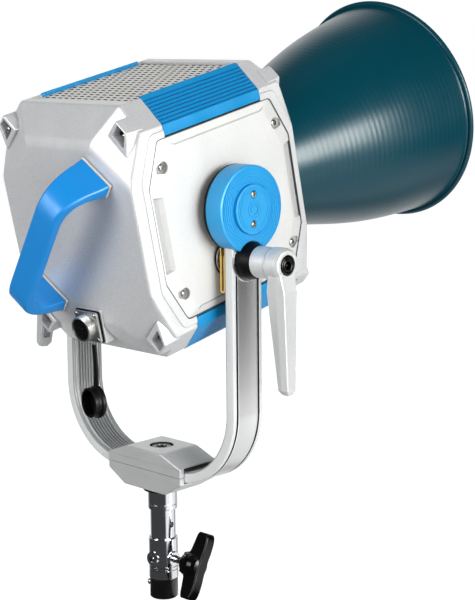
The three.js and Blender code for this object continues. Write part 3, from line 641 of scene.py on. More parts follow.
# ---------------------------------------------------------------- showing a piece
def show(name, mesh, body, looks, replaces=None, sharp=32, weighted=True,
         pick=None):
    """Makes a mesh in millimetres a shown piece that rides on a body.

    looks is a material name or several; pick(centre, normal) chooses among several by face.
    Edges bent by more than sharp degrees are shaded as creases.
    """
    looks = [looks] if isinstance(looks, str) else looks
    mesh = mesh.copy()
    mesh.transform(Matrix.Scale(0.001, 4))
    mesh.materials.clear()
    for look in looks:
        mesh.materials.append(MATERIALS[look])
    for face in mesh.polygons:
        face.material_index = pick(face.center * 1000, face.normal) if pick else 0
    mesh.shade_smooth()
    mesh.name = name
    with editing(mesh) as work:
        for edge in work.edges:
            if edge.calc_face_angle(0) > math.radians(sharp):
                edge.smooth = False
    piece = bpy.data.objects.new(name, mesh)
    SCENE.collection.objects.link(piece)
    piece.matrix_world = HEAD if body in HEAD_BODIES else PIVOT
    if weighted:
        normals = piece.modifiers.new("weighted", "WEIGHTED_NORMAL")
        normals.keep_sharp = True
        normals.weight = 60
    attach(piece, body)
    if replaces:
        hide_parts(replaces)


def small_screw(radius, height, dome=0.5, count=36, depth=0.9):
    """Socket screw head standing on z = 0."""
    profile = [(0, 0), (radius, 0), (radius, height - dome), (radius * 0.72, height),
               (0, height)]
    socket = prism(ring(radius * 0.42, 6, phase=0), height - depth, height + 1)
    return combine(lathe("z", profile, count, fillet=0.25, steps=2), "-", socket)


FACE_REAR = Matrix.Rotation(PI / 2, 4, "X")
FACE_FRONT = Matrix.Rotation(-PI / 2, 4, "X")
FACE_RIGHT = Matrix.Rotation(PI / 2, 4, "Y")

# ================================================================ head: end covers
# side panel outline, (y, z), upper half
PANEL_UPPER = [(-99, 49.8), (-77.8, 94.3), (88.3, 94.3), (109.5, 49.8)]
PANEL = PANEL_UPPER + [(y, -z) for y, z in reversed(PANEL_UPPER)]
PANEL_MID_Y = 5.25
PORT_Z = -98                    # connector port, in the housing's frame


def panel_outline(grow, radius=7.0, steps=6, stretch=1.0):
    """The side panel's outline grown by a margin; stretch scales the margin along Y."""
    return soften([(y + (grow * stretch if y > PANEL_MID_Y else -grow * stretch),
                    z + (grow if z > 0 else -grow)) for y, z in PANEL], radius, steps)


def shell_points(face, seam, wall, drop=0.0):
    """Corners of a cover, set in by a wall; drop narrows it."""
    out = 1 if face > 0 else -1
    side_run, panel_run = (12.65, 2.8) if out > 0 else (23, 3.6)
    side_x = HALF_W - drop - wall
    end_y = face - out * wall
    side_z, top_x, top_z = CHAMFER_Z - wall / 2, CHAMFER_X - wall / 2, HALF_H - wall
    points = [(50 - wall / 2, end_y, 99.3 - wall),
              (101.2 - wall - drop * 0.6, end_y, 58.5 - wall / 2),
              (top_x, face - out * 26, top_z),
              (side_x, face - out * side_run - out * wall / 2, side_z),
              (side_x, face - out * panel_run - out * wall / 2, 57),
              (side_x, seam, side_z),
              (top_x, seam, top_z)]
    return [(across * x, y, up * z) for x, y, z in points for across, up in CORNERS]


def octagon(start, end):
    """The housing's full section between two y stations."""
    upper = [(HALF_W, CHAMFER_Z), (CHAMFER_X, HALF_H), (-CHAMFER_X, HALF_H),
             (-HALF_W, CHAMFER_Z)]
    return prism(upper + [(-x, -z) for x, z in upper], start, end, "y")


# corner lugs, (x, z): outer face, wider root, and the screw pocket sunk in the face
LUG_FACE = [(88.6, 123.4), (100.6, 111.4), (94, 85.5), (72.1, 107.8)]
LUG_ROOT = [(88.6, 123.6), (101.2, 111), (97, 76), (62, 108.5)]
LUG_POCKET = [(89.4, 118.8), (97.8, 111.6), (92.4, 95.5), (79.4, 108.4)]


def cover(face, seam, lug_face, lug_root, pocket_floor, adds, cuts):
    """Hollow end cover from its face to its seam, both y stations."""
    out = 1 if face > 0 else -1

    def rounding(start, end):
        ends = (start, end)
        on_seam = [abs(p.y - seam) < 0.5 for p in ends]
        if all(on_seam):
            return 0.0
        long_side = (all(abs(abs(p.x) - 104) < 3.2 for p in ends)
                     and abs(start.y - end.y) > 12 and abs(abs(start.z) - CHAMFER_Z) < 2)
        if long_side or any(on_seam):
            return 0.12
        if all(abs(p.y - face) < 0.5 for p in ends):
            if all(abs(p.x) > 90 for p in ends):
                return 0.22
            return 1.0 if out < 0 else 0.6
        return 0.3

    def lug_rounding(start, end):
        at_root = abs(start.y - lug_root) < 0.5 and abs(end.y - lug_root) < 0.5
        return 0.0 if at_root else 1.0

    def lug(across, up):
        body = hull([(across * x, lug_face, up * z) for x, z in LUG_FACE]
                    + [(across * x, lug_root, up * z) for x, z in LUG_ROOT])
        body = bevel(body, 1.5, 4, weights=lug_rounding)
        return combine(body, "&", octagon(*sorted((seam, out * 140))))

    def pocket(across, up):
        outline = soften([(across * x, up * z) for x, z in LUG_POCKET], 1.6)
        return stack("y", [(outline, pocket_floor), (outline, lug_face - out * 0.9),
                           (inset(outline, -1.0), lug_face + out * 0.4)])

    # raised frame round the side panel, with a soft shoulder
    frame = prism(panel_outline(8.2, 11.0, 8), HALF_W - 9, HALF_W - 0.02, "x",
                  rims=(0.0, 1.3), steps=4)
    frame = combine(frame, "&", box((HALF_W - 10, HALF_W + 1), sorted((seam, out * 130)),
                                    (-107.0, 107.0)))
    panel_bed = stack("x", [(panel_outline(0.4), HALF_W - 4.3),
                            (panel_outline(0.4), HALF_W - 0.7),
                            (panel_outline(1.1), HALF_W + 0.3)])
    shell = bevel(hull(shell_points(face, seam, 0, drop=1.1)), 8.0 if out < 0 else 6.0, 5,
                  weights=rounding, clamp=False)
    shell = combine(shell,
                    "+", *[lug(*corner) for corner in CORNERS],
                    *[moved(frame, mirror) for mirror in SIDES.values()], *adds,
                    "-", hull(shell_points(face, seam - out * 5, 3.2)),
                    *[pocket(*corner) for corner in CORNERS],
                    *[moved(panel_bed, mirror) for mirror in SIDES.values()], *cuts)
    return clean(shell, merge=0.002)


def grille_cut(start, end, up):
    """Chamfered opening for a grille in the top (up = 1) or the bottom (-1)."""
    outline = [(-75.8, start), (75.8, start), (75.8, end), (-75.8, end)]
    return stack("z", [(outline, up * 118), (outline, up * (HALF_H - 0.9)),
                       (inset(outline, -1.2), up * (HALF_H + 0.3))])


def end_covers():
    port_block = bevel(box((-19.4, 19.4), (-122.4, -108), (-117, -79.4)), 1.6, 4)
    rear = cover(face=-121, seam=-67.1, lug_face=-113, lug_root=-92, pocket_floor=-101.6,
                 adds=[port_block],
                 cuts=[grille_cut(-82.4, 0, 1), grille_cut(-82.4, 0, -1),
                       rod("y", 12.6, -130, -100, 40, (0, PORT_Z))])
    show("rear_cover_shell", moved(rear, HOUSING), "head", "silver_paint", "rear_cover")
    mouth = rod("y", 60.5, 100, 130, 96, (0, REFLECTOR_Z - HOUSING_Z))
    front = cover(face=120.5, seam=75.0, lug_face=113.5, lug_root=92, pocket_floor=101,
                  adds=[], cuts=[grille_cut(0, 80.3, 1), grille_cut(0, 80.3, -1), mouth])
    show("front_cover_shell", moved(front, HOUSING), "head", "silver_paint", "front_cover")

    # screws deep in the corner lugs
    screws = []
    for across, up in CORNERS:
        x, z = across * 91.0, up * 106.0
        screws.append(moved(small_screw(3.1, 4.0), FACE_REAR,
                            Matrix.Translation((x, -105.0, z))))
        screws.append(moved(small_screw(2.9, 2.6), FACE_FRONT,
                            Matrix.Translation((x, 105.4, z))))
    show("cover_screws", moved(join(*screws), HOUSING), "head", "steel")


end_covers()

# ================================================================ side panels
PANEL_SCREW_Z = 66.8
# panel edge section: (outline growth, x past the housing's side)
PANEL_EDGE = [(0.0, -4), (0.0, -1.5), (-0.2, -1.15), (-0.7, -0.95), (-7.6, 0.66),
              (-8.2, 0.80), (-8.8, 0.88), (-9.6, 0.9)]
# finger notches in the rear and front edges, (y, z): floor and mouth
NOTCHES = [
    ([(-96.2, 38.9), (-88.6, 36.6), (-88.6, -36.6), (-96.2, -38.9)],
     [(-97.4, 42.2), (-84.2, 38.2), (-84.2, -38.2), (-97.4, -42.2)]),
    ([(104.4, 40.0), (116, 43.5), (116, -43.5), (104.4, -40.0)],
     [(98.6, 41.5), (116, 46.5), (116, -46.5), (98.6, -41.5)]),
]
# line between the plateau and the upper shoulder, (y, z)
PANEL_LINE = [(-64.5, 96), (-61.5, 87.6), (-57.5, 85.6), (70, 85.6), (74.5, 87.6), (77.5, 96)]


def screw_recess(y, z, out):
    """Teardrop recess whose point lies towards the panel's end (out = -1 rear, 1 front)."""
    start = -100 if out < 0 else 80
    tip_y = y + out * 8.9
    tips = [(tip_y, z + (1.6 if z > 0 else 4.6)), (tip_y, z - (4.6 if z > 0 else 1.6))]
    outline = arc((y, z), 6.2, start, start + 200, 20) + (tips if out < 0 else tips[::-1])
    return stack("x", [(outline, HALF_W - 3.1), (outline, HALF_W + 0.1),
                       (inset(outline, -0.8), HALF_W + 1.3)])


def side_panel():
    levels = []
    for grow, past in PANEL_EDGE:
        radius, stretch = (7.0, 1.0) if grow > -5 else (6.0, 1.55)
        levels.append((panel_outline(grow, radius, 6, stretch), HALF_W + past))
    cuts = [screw_recess(y, z, out) for y, out in ((-77.2, -1), (91.0, 1))
            for z in (PANEL_SCREW_Z, -PANEL_SCREW_Z)]
    for floor, mouth in NOTCHES:
        floor, mouth = soften(floor, 1.2, 3), soften(mouth, 1.2, 3)
        cuts.append(stack("x", [(floor, HALF_W - 2.9), (mouth, HALF_W + 0.9),
                                (inset(mouth, -0.6), HALF_W + 2.2)]))
    for up in (1, -1):
        path = [(y, up * z) for y, z in PANEL_LINE]
        cuts.append(prism(strip(path, 0.85), HALF_W - 0.1, HALF_W + 3, "x"))
    cuts.append(rod("x", 10.6, 90, 120, 48, (0, -HOUSING_Z)))
    return clean(combine(stack("x", levels), "-", *cuts), merge=0.002)


def pick_panel(centre, normal):
    """1 on the recess floors, which take a darker copy of the panel paint as painted shade."""
    return 1 if HALF_W - 3.3 < abs(centre.x) < HALF_W - 1.8 and abs(normal.x) > 0.5 else 0


def side_panels():
    panel = side_panel()
    # dark seal in the gap between the panel and its frame
    seal = combine(prism(panel_outline(0.9), HALF_W - 3.2, HALF_W - 0.4, "x"),
                   "-", prism(panel_outline(-0.15), HALF_W - 5, HALF_W + 1, "x"))
    screw = small_screw(3.7, 2.3, dome=0.8)
    screws = join(*[
        moved(screw, FACE_RIGHT, Matrix.Translation((HALF_W - 2.85, y, z + HOUSING_Z)))
        for y in (-76.9, 91.2) for z in (PANEL_SCREW_Z, -PANEL_SCREW_Z)])
    for side, mirror in SIDES.items():
        show(f"side_panel_{side}_skin", moved(panel, HOUSING, mirror), "head",
             ["panel_paint", "panel_recess_painted_shade"], f"side_panel_{side}", pick=pick_panel)
        show(f"panel_seal_{side}", moved(seal, HOUSING, mirror), "head", "seal_grey")
        show(f"panel_screws_{side}", moved(screws, mirror), "head", "steel")


side_panels()

# ================================================================ corner extrusions
RUN_X, RUN_Z = CHAMFER_X - HALF_W, HALF_H - CHAMFER_Z
CHAMFER_LENGTH = math.hypot(RUN_X, RUN_Z)
GROOVE_COUNT, GROOVE_DEPTH = 8, 2.1
# one groove: (share of the pitch, depth)
GROOVE = ((0.10, 0), (0.17, GROOVE_DEPTH), (0.50, GROOVE_DEPTH), (0.57, 0))


def rail():
    """Grooved extrusion over the upper right chamfer; corners are (x, z, radius)."""
    out_x, out_z = RUN_Z / CHAMFER_LENGTH, -RUN_X / CHAMFER_LENGTH
    corners = [(HALF_W, 96.4, 0.4), (HALF_W, CHAMFER_Z, 1.6)]
    for i in range(GROOVE_COUNT):
        for part, depth in GROOVE:
            share = (i + part) / GROOVE_COUNT * 0.94 + 0.03
            corners.append((HALF_W + RUN_X * share - out_x * depth,
                            CHAMFER_Z + RUN_Z * share - out_z * depth, 0.35))
    corners += [(CHAMFER_X, HALF_H, 0.8), (76.4, HALF_H + 1.6, 0.3), (75.9, HALF_H + 1.6, 0.2),
                (75.9, HALF_H - 4.4, 0), (77, HALF_H - 4.4, 0), (99.9, CHAMFER_Z - 1.6, 0),
                (99.9, 96.4, 0)]
    return clean(prism(soften_each(corners, 3), -66.8, 74.7, "y", rim=0.12, steps=1),
                 merge=0.0005)


def pick_rail(centre, normal):
    """1 on the floors of the grooves, which take a darker blue as painted shade."""
    height = (RUN_Z * (abs(centre.x) - HALF_W)
              - RUN_X * (abs(centre.z - HOUSING_Z) - CHAMFER_Z)) / CHAMFER_LENGTH
    on_chamfer = HALF_W + 1 > abs(centre.x) > CHAMFER_X - 1
    return 1 if -2.4 < height < -1.2 and abs(normal.y) < 0.5 and on_chamfer else 0


RAIL = rail()
for side, mirror in SIDES.items():
    for level, flip in (("top", SAME), ("bottom", MIRROR_Z)):
        show(f"rail_{level}_{side}_profile", moved(RAIL, flip, mirror, HOUSING), "head",
             ["blue_rail", "rail_floor_painted_shade"], f"rail_{level}_{side}", sharp=20, weighted=False,
             pick=pick_rail)


# ================================================================ grilles
def grille():
    """Pressed plate: rows of slots, each under a low hood with its mouth to the rear."""
    left, right, rear, front = -75.5, 75.5, -82.0, 80.0
    pitch_x, pitch_y, rows = 10.2, 8.5, 19
    slot_depth, bridge, margin = 4.2, 3.9, 1.5
    edge_left = 2.2
    top, bottom, hood = 131.2, 130.0, 0.72
    taper, lip = 0.9, 0.8       # the hood's slant at its ends and the overhang of its crest
    points, faces = [], []

    def add(new_points, new_faces):
        base = len(points)
        points.extend(new_points)
        faces.extend([tuple(base + i for i in face) for face in new_faces])

    def flat(x0, x1, y0, y1):
        add([(x0, y0, top), (x1, y0, top), (x1, y1, top), (x0, y1, top)], [(0, 1, 2, 3)])

    for row in range(rows):
        start = rear + pitch_y * row
        mouth = start + pitch_y - slot_depth
        end = front if row == rows - 1 else start + pitch_y
        stops, hooded = [left], []
        x = left + edge_left + (row % 2) * pitch_x / 2
        while x + pitch_x - bridge < right - margin:
            stops += [x, x + pitch_x - bridge]
            hooded += [False, True]
            x += pitch_x
        stops.append(right)
        hooded.append(False)
        flat(left, right, start, mouth)
        for i, is_hood in enumerate(hooded):
            x0, x1 = stops[i], stops[i + 1]
            if not is_hood:
                flat(x0, x1, mouth, end)
                continue
            crest, height = mouth + lip, top + hood
            add([(x0, end, top), (x1, end, top), (x1 - taper, crest, height),
                 (x0 + taper, crest, height), (x0, crest + 0.1, top), (x1, crest + 0.1, top),
                 (x0, mouth, top), (x1, mouth, top), (x1, mouth, bottom),
                 (x0, mouth, bottom)],
                [(0, 1, 2, 3), (0, 3, 4), (1, 5, 2), (6, 7, 8, 9)])
    mesh = mesh_from(points, faces)
    with editing(mesh) as work:
        bmesh.ops.remove_doubles(work, verts=work.verts, dist=0.001)
        for face in work.faces:
            face.normal_update()
            if face.normal.z < -0.05:
                face.normal_flip()
    return mesh


def grilles():
    plate = grille()
    show("grille_top_louvres", moved(plate, HOUSING), "head", "mesh_metal", "grille_top",
         sharp=20, weighted=False)
    show("grille_bottom_louvres", moved(plate, MIRROR_Z, HOUSING), "head", "mesh_metal",
         "grille_bottom", sharp=20, weighted=False)
    # dark sheet under each plate, painted shade so that the slots read as openings
    shade_sheet = prism([(-74.6, -81), (74.6, -81), (74.6, 79), (-74.6, 79)], 127.6, 129.2, rim=0.3)
    for level, flip in (("top", SAME), ("bottom", MIRROR_Z)):
        show(f"grille_painted_shade_sheet_{level}", moved(shade_sheet, HOUSING, flip) if False else
             moved(moved(shade_sheet, flip), HOUSING), "head", "dark_recess")


grilles()

# ================================================================ handle
# drawn with x along the grip and y as in the head, then turned about Y
HANDLE = Matrix(((0.621, 0, 0.784, -0.6), (0, 1, 0, 0), (0.784, 0, -0.621, -2.6),
                 (0, 0, 0, 1)))
# outer and inner edges, (x, y)
HANDLE_OUTER = [(-93.5, -124.6), (-91.4, -134), (-89.8, -149), (-85.4, -163.5), (-78, -173.2),
                (-67, -178.4), (-54, -180), (50, -180), (62, -178.4), (74, -172.5),
                (83, -161), (88.6, -147), (91, -134), (93.5, -124.6)]
HANDLE_INNER = [(-78, -124.6), (-77.6, -134), (-77, -146), (-73.5, -157), (-65, -164.6),
                (-57, -167.4), (-50, -168.4), (50, -168.4), (57, -167.4), (65, -164.6),
                (73.5, -157), (77, -146), (77.6, -134), (78, -124.6)]
HANDLE_STRAIGHT = 6             # the span that is a straight line
# half width of the handle, by distance behind the pivot
WIDTH_AT, HALF_WIDTH = [124.5, 140, 158, 172, 181], [22.2, 20.6, 18.2, 15.6, 13.4]
HANDLE_RADIUS = 3.0


def handle_curve(points):
    """Four samples a span, with level ends at the straight one."""
    curve, last = [], len(points) - 1
    for i in range(last):
        before, start, end, after = (points[min(max(k, 0), last)] for k in range(i - 1, i + 3))
        if i == HANDLE_STRAIGHT - 1:
            after = (end[0] + 10, end[1])
        if i == HANDLE_STRAIGHT + 1:
            before = (start[0] - 10, start[1])
        for t in (0, 0.25, 0.5, 0.75):
            curve.append(line_point(start, end, t) if i == HANDLE_STRAIGHT
                         else spline_point(before, start, end, after, t))
    return curve + [points[-1]]


def handle():
    radius = HANDLE_RADIUS
    loops = []
    for outer, inner in zip(handle_curve(HANDLE_OUTER), handle_curve(HANDLE_INNER)):
        outer_half, inner_half = (float(np.interp(-y, WIDTH_AT, HALF_WIDTH))
                                  for y in (outer[1], inner[1]))
        depth = math.hypot(outer[0] - inner[0], outer[1] - inner[1])
        loop = []
        # the four rounded corners: at the outer edge or not, side, first angle
        for at_outer, side, first in ((1, 1, 0), (0, 1, 90), (0, -1, 180), (1, -1, 270)):
            for k in range(6):
                t = math.radians(first + 90 * k / 5)
                share = ((depth - radius if at_outer else radius)
                         + radius * math.cos(t)) / depth
                half = outer_half * share + inner_half * (1 - share)
                z = side * (half - radius) + radius * math.sin(t)
                loop.append((*line_point(inner, outer, share), z))
        loops.append(loop)
    return loft(loops)


show("carry_handle_grip", moved(handle(), HANDLE), "head", "blue_coat", "carry_handle",
     sharp=40)
for level, up in (("upper", 1), ("lower", -1)):
    start, end = sorted((up * 77, up * 94.6))
    pad = soften([(start, -22.8), (end, -22.8), (end, 22.8), (start, 22.8)], 2.2, 5)
    show(f"handle_pad_{level}_plate",
         moved(prism(pad, -124.2, -121.3, "y", rims=(0.8, 0.2)), HANDLE), "head",
         "panel_paint", f"handle_pad_{level}")

# ================================================================ power connector
CONNECTOR_Z = PORT_Z + HOUSING_Z
CONNECTOR_AT = (0, CONNECTOR_Z)


def connector_square(half_width, half_height, radius):
    low, high = CONNECTOR_Z - half_height, CONNECTOR_Z + half_height
    return soften([(-half_width, low), (half_width, low), (half_width, high),
                   (-half_width, high)], radius, 6)


def connector_turned(profile, count, at=CONNECTOR_AT):
    return lathe("y", profile, count, at)


def connector():
    gasket = combine(prism(connector_square(18.6, 17.6, 3.4), -124.2, -122.7, "y", rim=0.4),
                     "-", rod("y", 12.6, -130, -120, 48, CONNECTOR_AT))
    show("connector_gasket_pad", gasket, "head", "black_rubber", "connector_gasket")

    flange = prism(connector_square(17.6, 16.6, 3.0), -127.4, -124.5, "y", rim=0.5)
    profile = [(0, -137.6), (13.4, -137.6), (14.0, -137.1)]
    for k in range(8):          # ribs round the barrel, 1 mm apart
        y = -137.1 + k
        profile += [(14.0, y + 0.25), (13.35, y + 0.62), (14.0, y + 1.0)]
    profile += [(13, -128.6), (12, -127), (12, -110), (0, -110)]
    mouth = [(0, -140), (12.7, -140), (12.0, -137.0), (12.0, -133), (0, -133)]
    keyway = box((-1.3, 1.3), (-139, -132), (CONNECTOR_Z + 10, CONNECTOR_Z + 12.2))
    socket = combine(flange, "+", connector_turned(profile, 72),
                     "-", connector_turned(mouth, 64),
                     rod("y", 9.4, -134, -112, 48, CONNECTOR_AT), keyway)
    show("connector_socket_body", socket, "head", "turned_steel_y", "connector_socket")

    # contacts: one in the middle, then rings of (count, radius, first angle)
    spots = [CONNECTOR_AT]
    for count, radius, first in ((3, 3.6, 0.5), (7, 7.2, 0.2)):
        angles = [2 * PI * k / count + first for k in range(count)]
        spots += [(radius * math.cos(t), CONNECTOR_Z + radius * math.sin(t)) for t in angles]
    hole = [(0, -137), (1.5, -137), (1.05, -135.9), (1.05, -134), (0, -134)]
    pin = [(0, -136.2), (0.35, -136.2), (0.62, -135.8), (0.62, -133.9), (0, -133.9)]
    insert = prism(ring(11.7, 64, CONNECTOR_AT), -136.6, -133.3, "y", rim=0.5)
    insert = combine(insert, "+", rod("y", 9, -133.4, -112.5, 40, CONNECTOR_AT),
                     "-", join(*[connector_turned(hole, 16, spot) for spot in spots]))
    show("connector_insert_face", insert, "head", "black_plastic", "connector_insert")
    show("connector_pins", join(*[connector_turned(pin, 12, spot) for spot in spots]),
         "head", "steel")

    screw = small_screw(2.5, 1.3, dome=0.4, count=28, depth=0.7)
    places = [(across * 14.2, -127.3, CONNECTOR_Z + up * 13.3) for across, up in CORNERS]
    show("connector_flange_screws",
         join(*[moved(screw, Matrix.Translation(spot) @ FACE_REAR) for spot in places]),
         "head", "steel")


connector()

# ================================================================ hubs and tilt locks, right side
# profiles are (radius, x)
HUB_RADIUS, HUB_FACE, BOSS_FACE = 45.3, 141.2, 144.2
HUB_SCREW_Z = 15.3


def hub():
    profile = [(0, 119.9), (HUB_RADIUS, 119.9), (HUB_RADIUS, 139.6), (45.0, 140.5),
               (44.4, 141.0), (43.6, HUB_FACE)]
    for r in (42.6, 40.2, 37.4, 34.6, 31.8, 29.6):
        profile += [(r, HUB_FACE), (r - 0.15, 140.6), (r - 0.85, 140.6), (r - 1.0, HUB_FACE)]
    profile += [(28.0, HUB_FACE), (27.8, 139.9), (26.2, 139.9), (26.0, 141.4), (25.9, 143.5),
                (25.4, 144.05), (24.6, BOSS_FACE)]
    for r in (23.0, 20.4, 9.2):
        profile += [(r, BOSS_FACE), (r - 0.15, 143.75), (r - 0.75, 143.75),
                    (r - 0.9, BOSS_FACE)]
    profile += [(5.9, BOSS_FACE), (5.6, 143.5), (4.7, 143.5), (4.4, BOSS_FACE), (0, BOSS_FACE)]
    bar_slot = arc((0, 0), 22.3, 0, 180, 32) + [(-22.3, -60), (22.3, -60)]
    washer_notch = [(0, 110), (20.4, 110), (20.4, 140.6), (21.3, 141.6), (21.3, 160), (0, 160)]
    screw_hole = [(0, 141.6), (3.9, 141.6), (3.9, 143.6), (4.5, 144.4), (4.5, 150), (0, 150)]
    return clean(combine(
        lathe("x", profile, 160), "-", prism(bar_slot, 110, 134.3, "x"),
        rod("x", 13, 130, 139, 48), lathe("x", washer_notch, 96, LOCK_AT),
        *[lathe("x", screw_hole, 40, (0, z)) for z in (HUB_SCREW_Z, -HUB_SCREW_Z)]))


def hub_screw(z):
    profile = [(0, 141.9), (3.5, 141.9), (3.5, 143.6), (3.2, 144.3), (2.4, 144.8), (0, 144.8)]
    return combine(lathe("x", profile, 36, (0, z)),
                   "-", prism(ring(1.55, 6, (0, z), 0), 143.5, 150, "x"))


def caliper():
    """Hairpin strip: thin leaves either side of the disc, drawn together below its rim."""
    inner, outer, low, top = 114.6, 121.9, -83.6, -24
    leaf, neck = 1.4, 2.3
    centre, radius = ((inner + outer) / 2, low), (outer - inner) / 2
    outline = ([(outer, top)] + arc(centre, radius, 0, -180, 28)
               + [(inner, top), (inner + leaf, top), (inner + leaf, -46.5),
                  (inner + neck, -49.5)]
               + arc(centre, radius - neck, -180, 0, 28)
               + [(outer - neck, -49.5), (outer - leaf, -46.5), (outer - leaf, top)])
    return combine(prism(outline, -20.5, 20.5, "y", rim=0.45),
                   "-", rod("x", 4.6, 100, 130, 32, LOCK_AT))


def on_lock(profile, count=96, fillet=0.0, steps=3):
    return lathe("x", profile, count, LOCK_AT, fillet, steps)


def washer_ring():
    flat = on_lock([(4.5, 134.1), (21.9, 134.1), (22.3, 134.5), (22.3, 135.2), (21.8, 135.7),
                    (4.5, 135.7)], fillet=0.2, steps=2)
    return combine(flat, "-", rod("x", 46.0, 130, 140, 128))


def cap_screw():
    head = on_lock([(0, 180.8), (6.4, 180.8), (6.4, 186.2), (10.3, 186.2), (10.3, 189.6),
                    (10.0, 190.5), (9.2, 191.2), (8.2, 191.4), (7.6, 191.2), (7.2, 190.2),
                    (6.7, 190.0), (6.3, 190.8), (5.6, 191.1), (5.0, 190.9), (0, 190.9)], 72)
    post = on_lock([(0, 186), (1.5, 186), (1.3, 189.0), (0.6, 189.6), (0, 189.7)], 24)
    return combine(head, "-", prism(ring(4.2, 6, LOCK_AT, 0), 186.6, 195, "x"), "+", post)


def hull_pairs(points):
    """Hull of (x, half width in y, z) points."""
    return hull([(x, side * y, z) for x, y, z in points for side in (-1, 1)])


def lever():
    hub_top, knee, low, tip = LOCK_Z - 8, -80, -182, -187
    boss = on_lock([(0, 171.4), (16.4, 171.4), (17.4, 174), (17.6, 185.6), (17.0, 187.0),
                    (15.2, 189.9), (14.2, 190.3), (0, 190.3)], fillet=0.5)
    arm = hull_pairs([(176, 14, hub_top), (186, 14, hub_top), (190.2, 11, hub_top),
                      (173, 13.4, knee), (186, 13.4, knee), (193.8, 9.6, knee),
                      (184, 8.4, low), (189, 8.4, low), (195.2, 6, low),
                      (186, 4, tip), (193.4, 3.6, tip)])
    hollow = hull_pairs([(160, 9.6, -78), (187, 9, -78), (160, 5.4, -176),
                         (190.5, 4.6, -176)])
    return clean(combine(boss, "+", bevel(arm, 0.8, angle=10), "-", bevel(hollow, 1.5),
                         rod("x", 9, 160, 182, 48, LOCK_AT),
                         rod("x", 10.8, 181.4, 200, 64, LOCK_AT)))


# rubber backing disc behind the bolt washer, black partly as rubber and partly as painted shade
# for the gap by the panel
RUBBER_AND_SHADE_DISC = [(4.6, 106.3), (19.6, 106.3), (19.6, 107.3), (4.6, 107.3)]
BOLT_WASHER = [(4.6, 107.4), (18.4, 107.4), (19.0, 108.0), (19.0, 109.0), (18.5, 109.5),
               (17.2, 109.5), (16.9, 109.2), (4.6, 109.2)]
LOCK_BOLT = [(0, 109.4), (9.5, 109.4), (11, 110.6), (11, 114.3), (4.1, 114.3), (4.1, 176),
             (0, 176)]
CONE = [(4.5, 136.0), (19.7, 136.0), (19.5, 138), (19.2, 142), (17, 151.6), (4.5, 151.6)]
DISC = [(12.4, 116.4), (HUB_RADIUS, 116.4), (HUB_RADIUS, 119.5), (12.4, 119.5)]
CLAMP_NUT = [(4.5, 151.9), (16.5, 151.9), (16.5, 170.6), (15.9, 171.1), (8.6, 171.1),
             (8.6, 180.4), (4.5, 180.4)]
# name, mesh, body, material, what it replaces, crease angle; {} stands for the side
LOCK_PARTS = [
    ("hub_cap_{}_drum", hub(), "yoke", "hub_blue", "hub_cap_{}", 28),
    ("hub_screw_upper_{}_head", hub_screw(HUB_SCREW_Z), "yoke", "screw_steel",
     "hub_screw_upper_{}", 32),
    ("hub_screw_lower_{}_head", hub_screw(-HUB_SCREW_Z), "yoke", "screw_steel",
     "hub_screw_lower_{}", 32),
    ("brake_caliper_{}_strip", caliper(), "yoke", "brass", "brake_caliper_{}", 32),
    ("lock_bolt_backing_{}", on_lock(RUBBER_AND_SHADE_DISC, fillet=0.2, steps=2), "yoke", "black_rubber",
     "", 32),
    ("lock_bolt_washer_{}", on_lock(BOLT_WASHER, fillet=0.15, steps=2), "yoke",
     "turned_steel_x", "", 32),
    ("lock_bolt_{}_head", on_lock(LOCK_BOLT, 64, fillet=0.5), "yoke", "turned_steel_x",
     "lock_bolt_{}", 32),
    ("lock_washer_{}_cone", on_lock(CONE, fillet=0.6), "yoke", "black_plastic",
     "lock_washer_{}", 32),
    ("lock_washer_{}_ring", washer_ring(), "yoke", "turned_steel_x", "", 32),
    ("brake_disc_{}_plate", lathe("x", DISC, 128, fillet=0.5), "head", "black_plastic",
     "brake_disc_{}", 32),
    ("clamp_nut_{}_turned", on_lock(CLAMP_NUT, 80, fillet=0.5), "lock_hub_{}", "diecast",
     "clamp_nut_{}", 32),
    ("lever_cap_screw_{}_head", cap_screw(), "lock_hub_{}", "black_gloss",
     "lever_cap_screw_{}", 32),
    ("lock_lever_{}_arm", lever(), "lever_{}", "diecast", "lock_lever_{}", 30),
]
# the left nut, cap screw and lever stand a little round their bolt
LEFT_SWING = (Matrix.Translation((0, 0, LOCK_Z)) @ Matrix.Rotation(math.radians(-5), 4, "X")
              @ Matrix.Translation((0, 0, -LOCK_Z)))

for side, mirror in SIDES.items():
    for name, mesh, body, look, replaced, sharp in LOCK_PARTS:
        swing = [LEFT_SWING] if side == "left" and "{}" in body else []
        show(name.format(side), moved(mesh, mirror, *swing), body.format(side), look,
             replaced.format(side), sharp=sharp)

# ================================================================ yoke bar
BAR_X, BAR_T, BAR_W = 122.5, 11.5, 43.6     # inner face, thickness, width along Y
BEND_RADIUS, BEND_STEPS = 87.0, 36          # of the outer face
BAR_OUTER = BAR_X + BAR_T
BEND_X = BAR_OUTER - BEND_RADIUS
BEND_Z = SEAM_Z - BAR_T / 2 - 0.6 + BEND_RADIUS
# rear groove of the outer face, (depth, y)
BAR_GROOVE = [(0, -17.2), (2.4, -17.0), (2.4, -14.8), (0, -14.6)]
BAR_RIBS = 9                    # grooves across the inner face


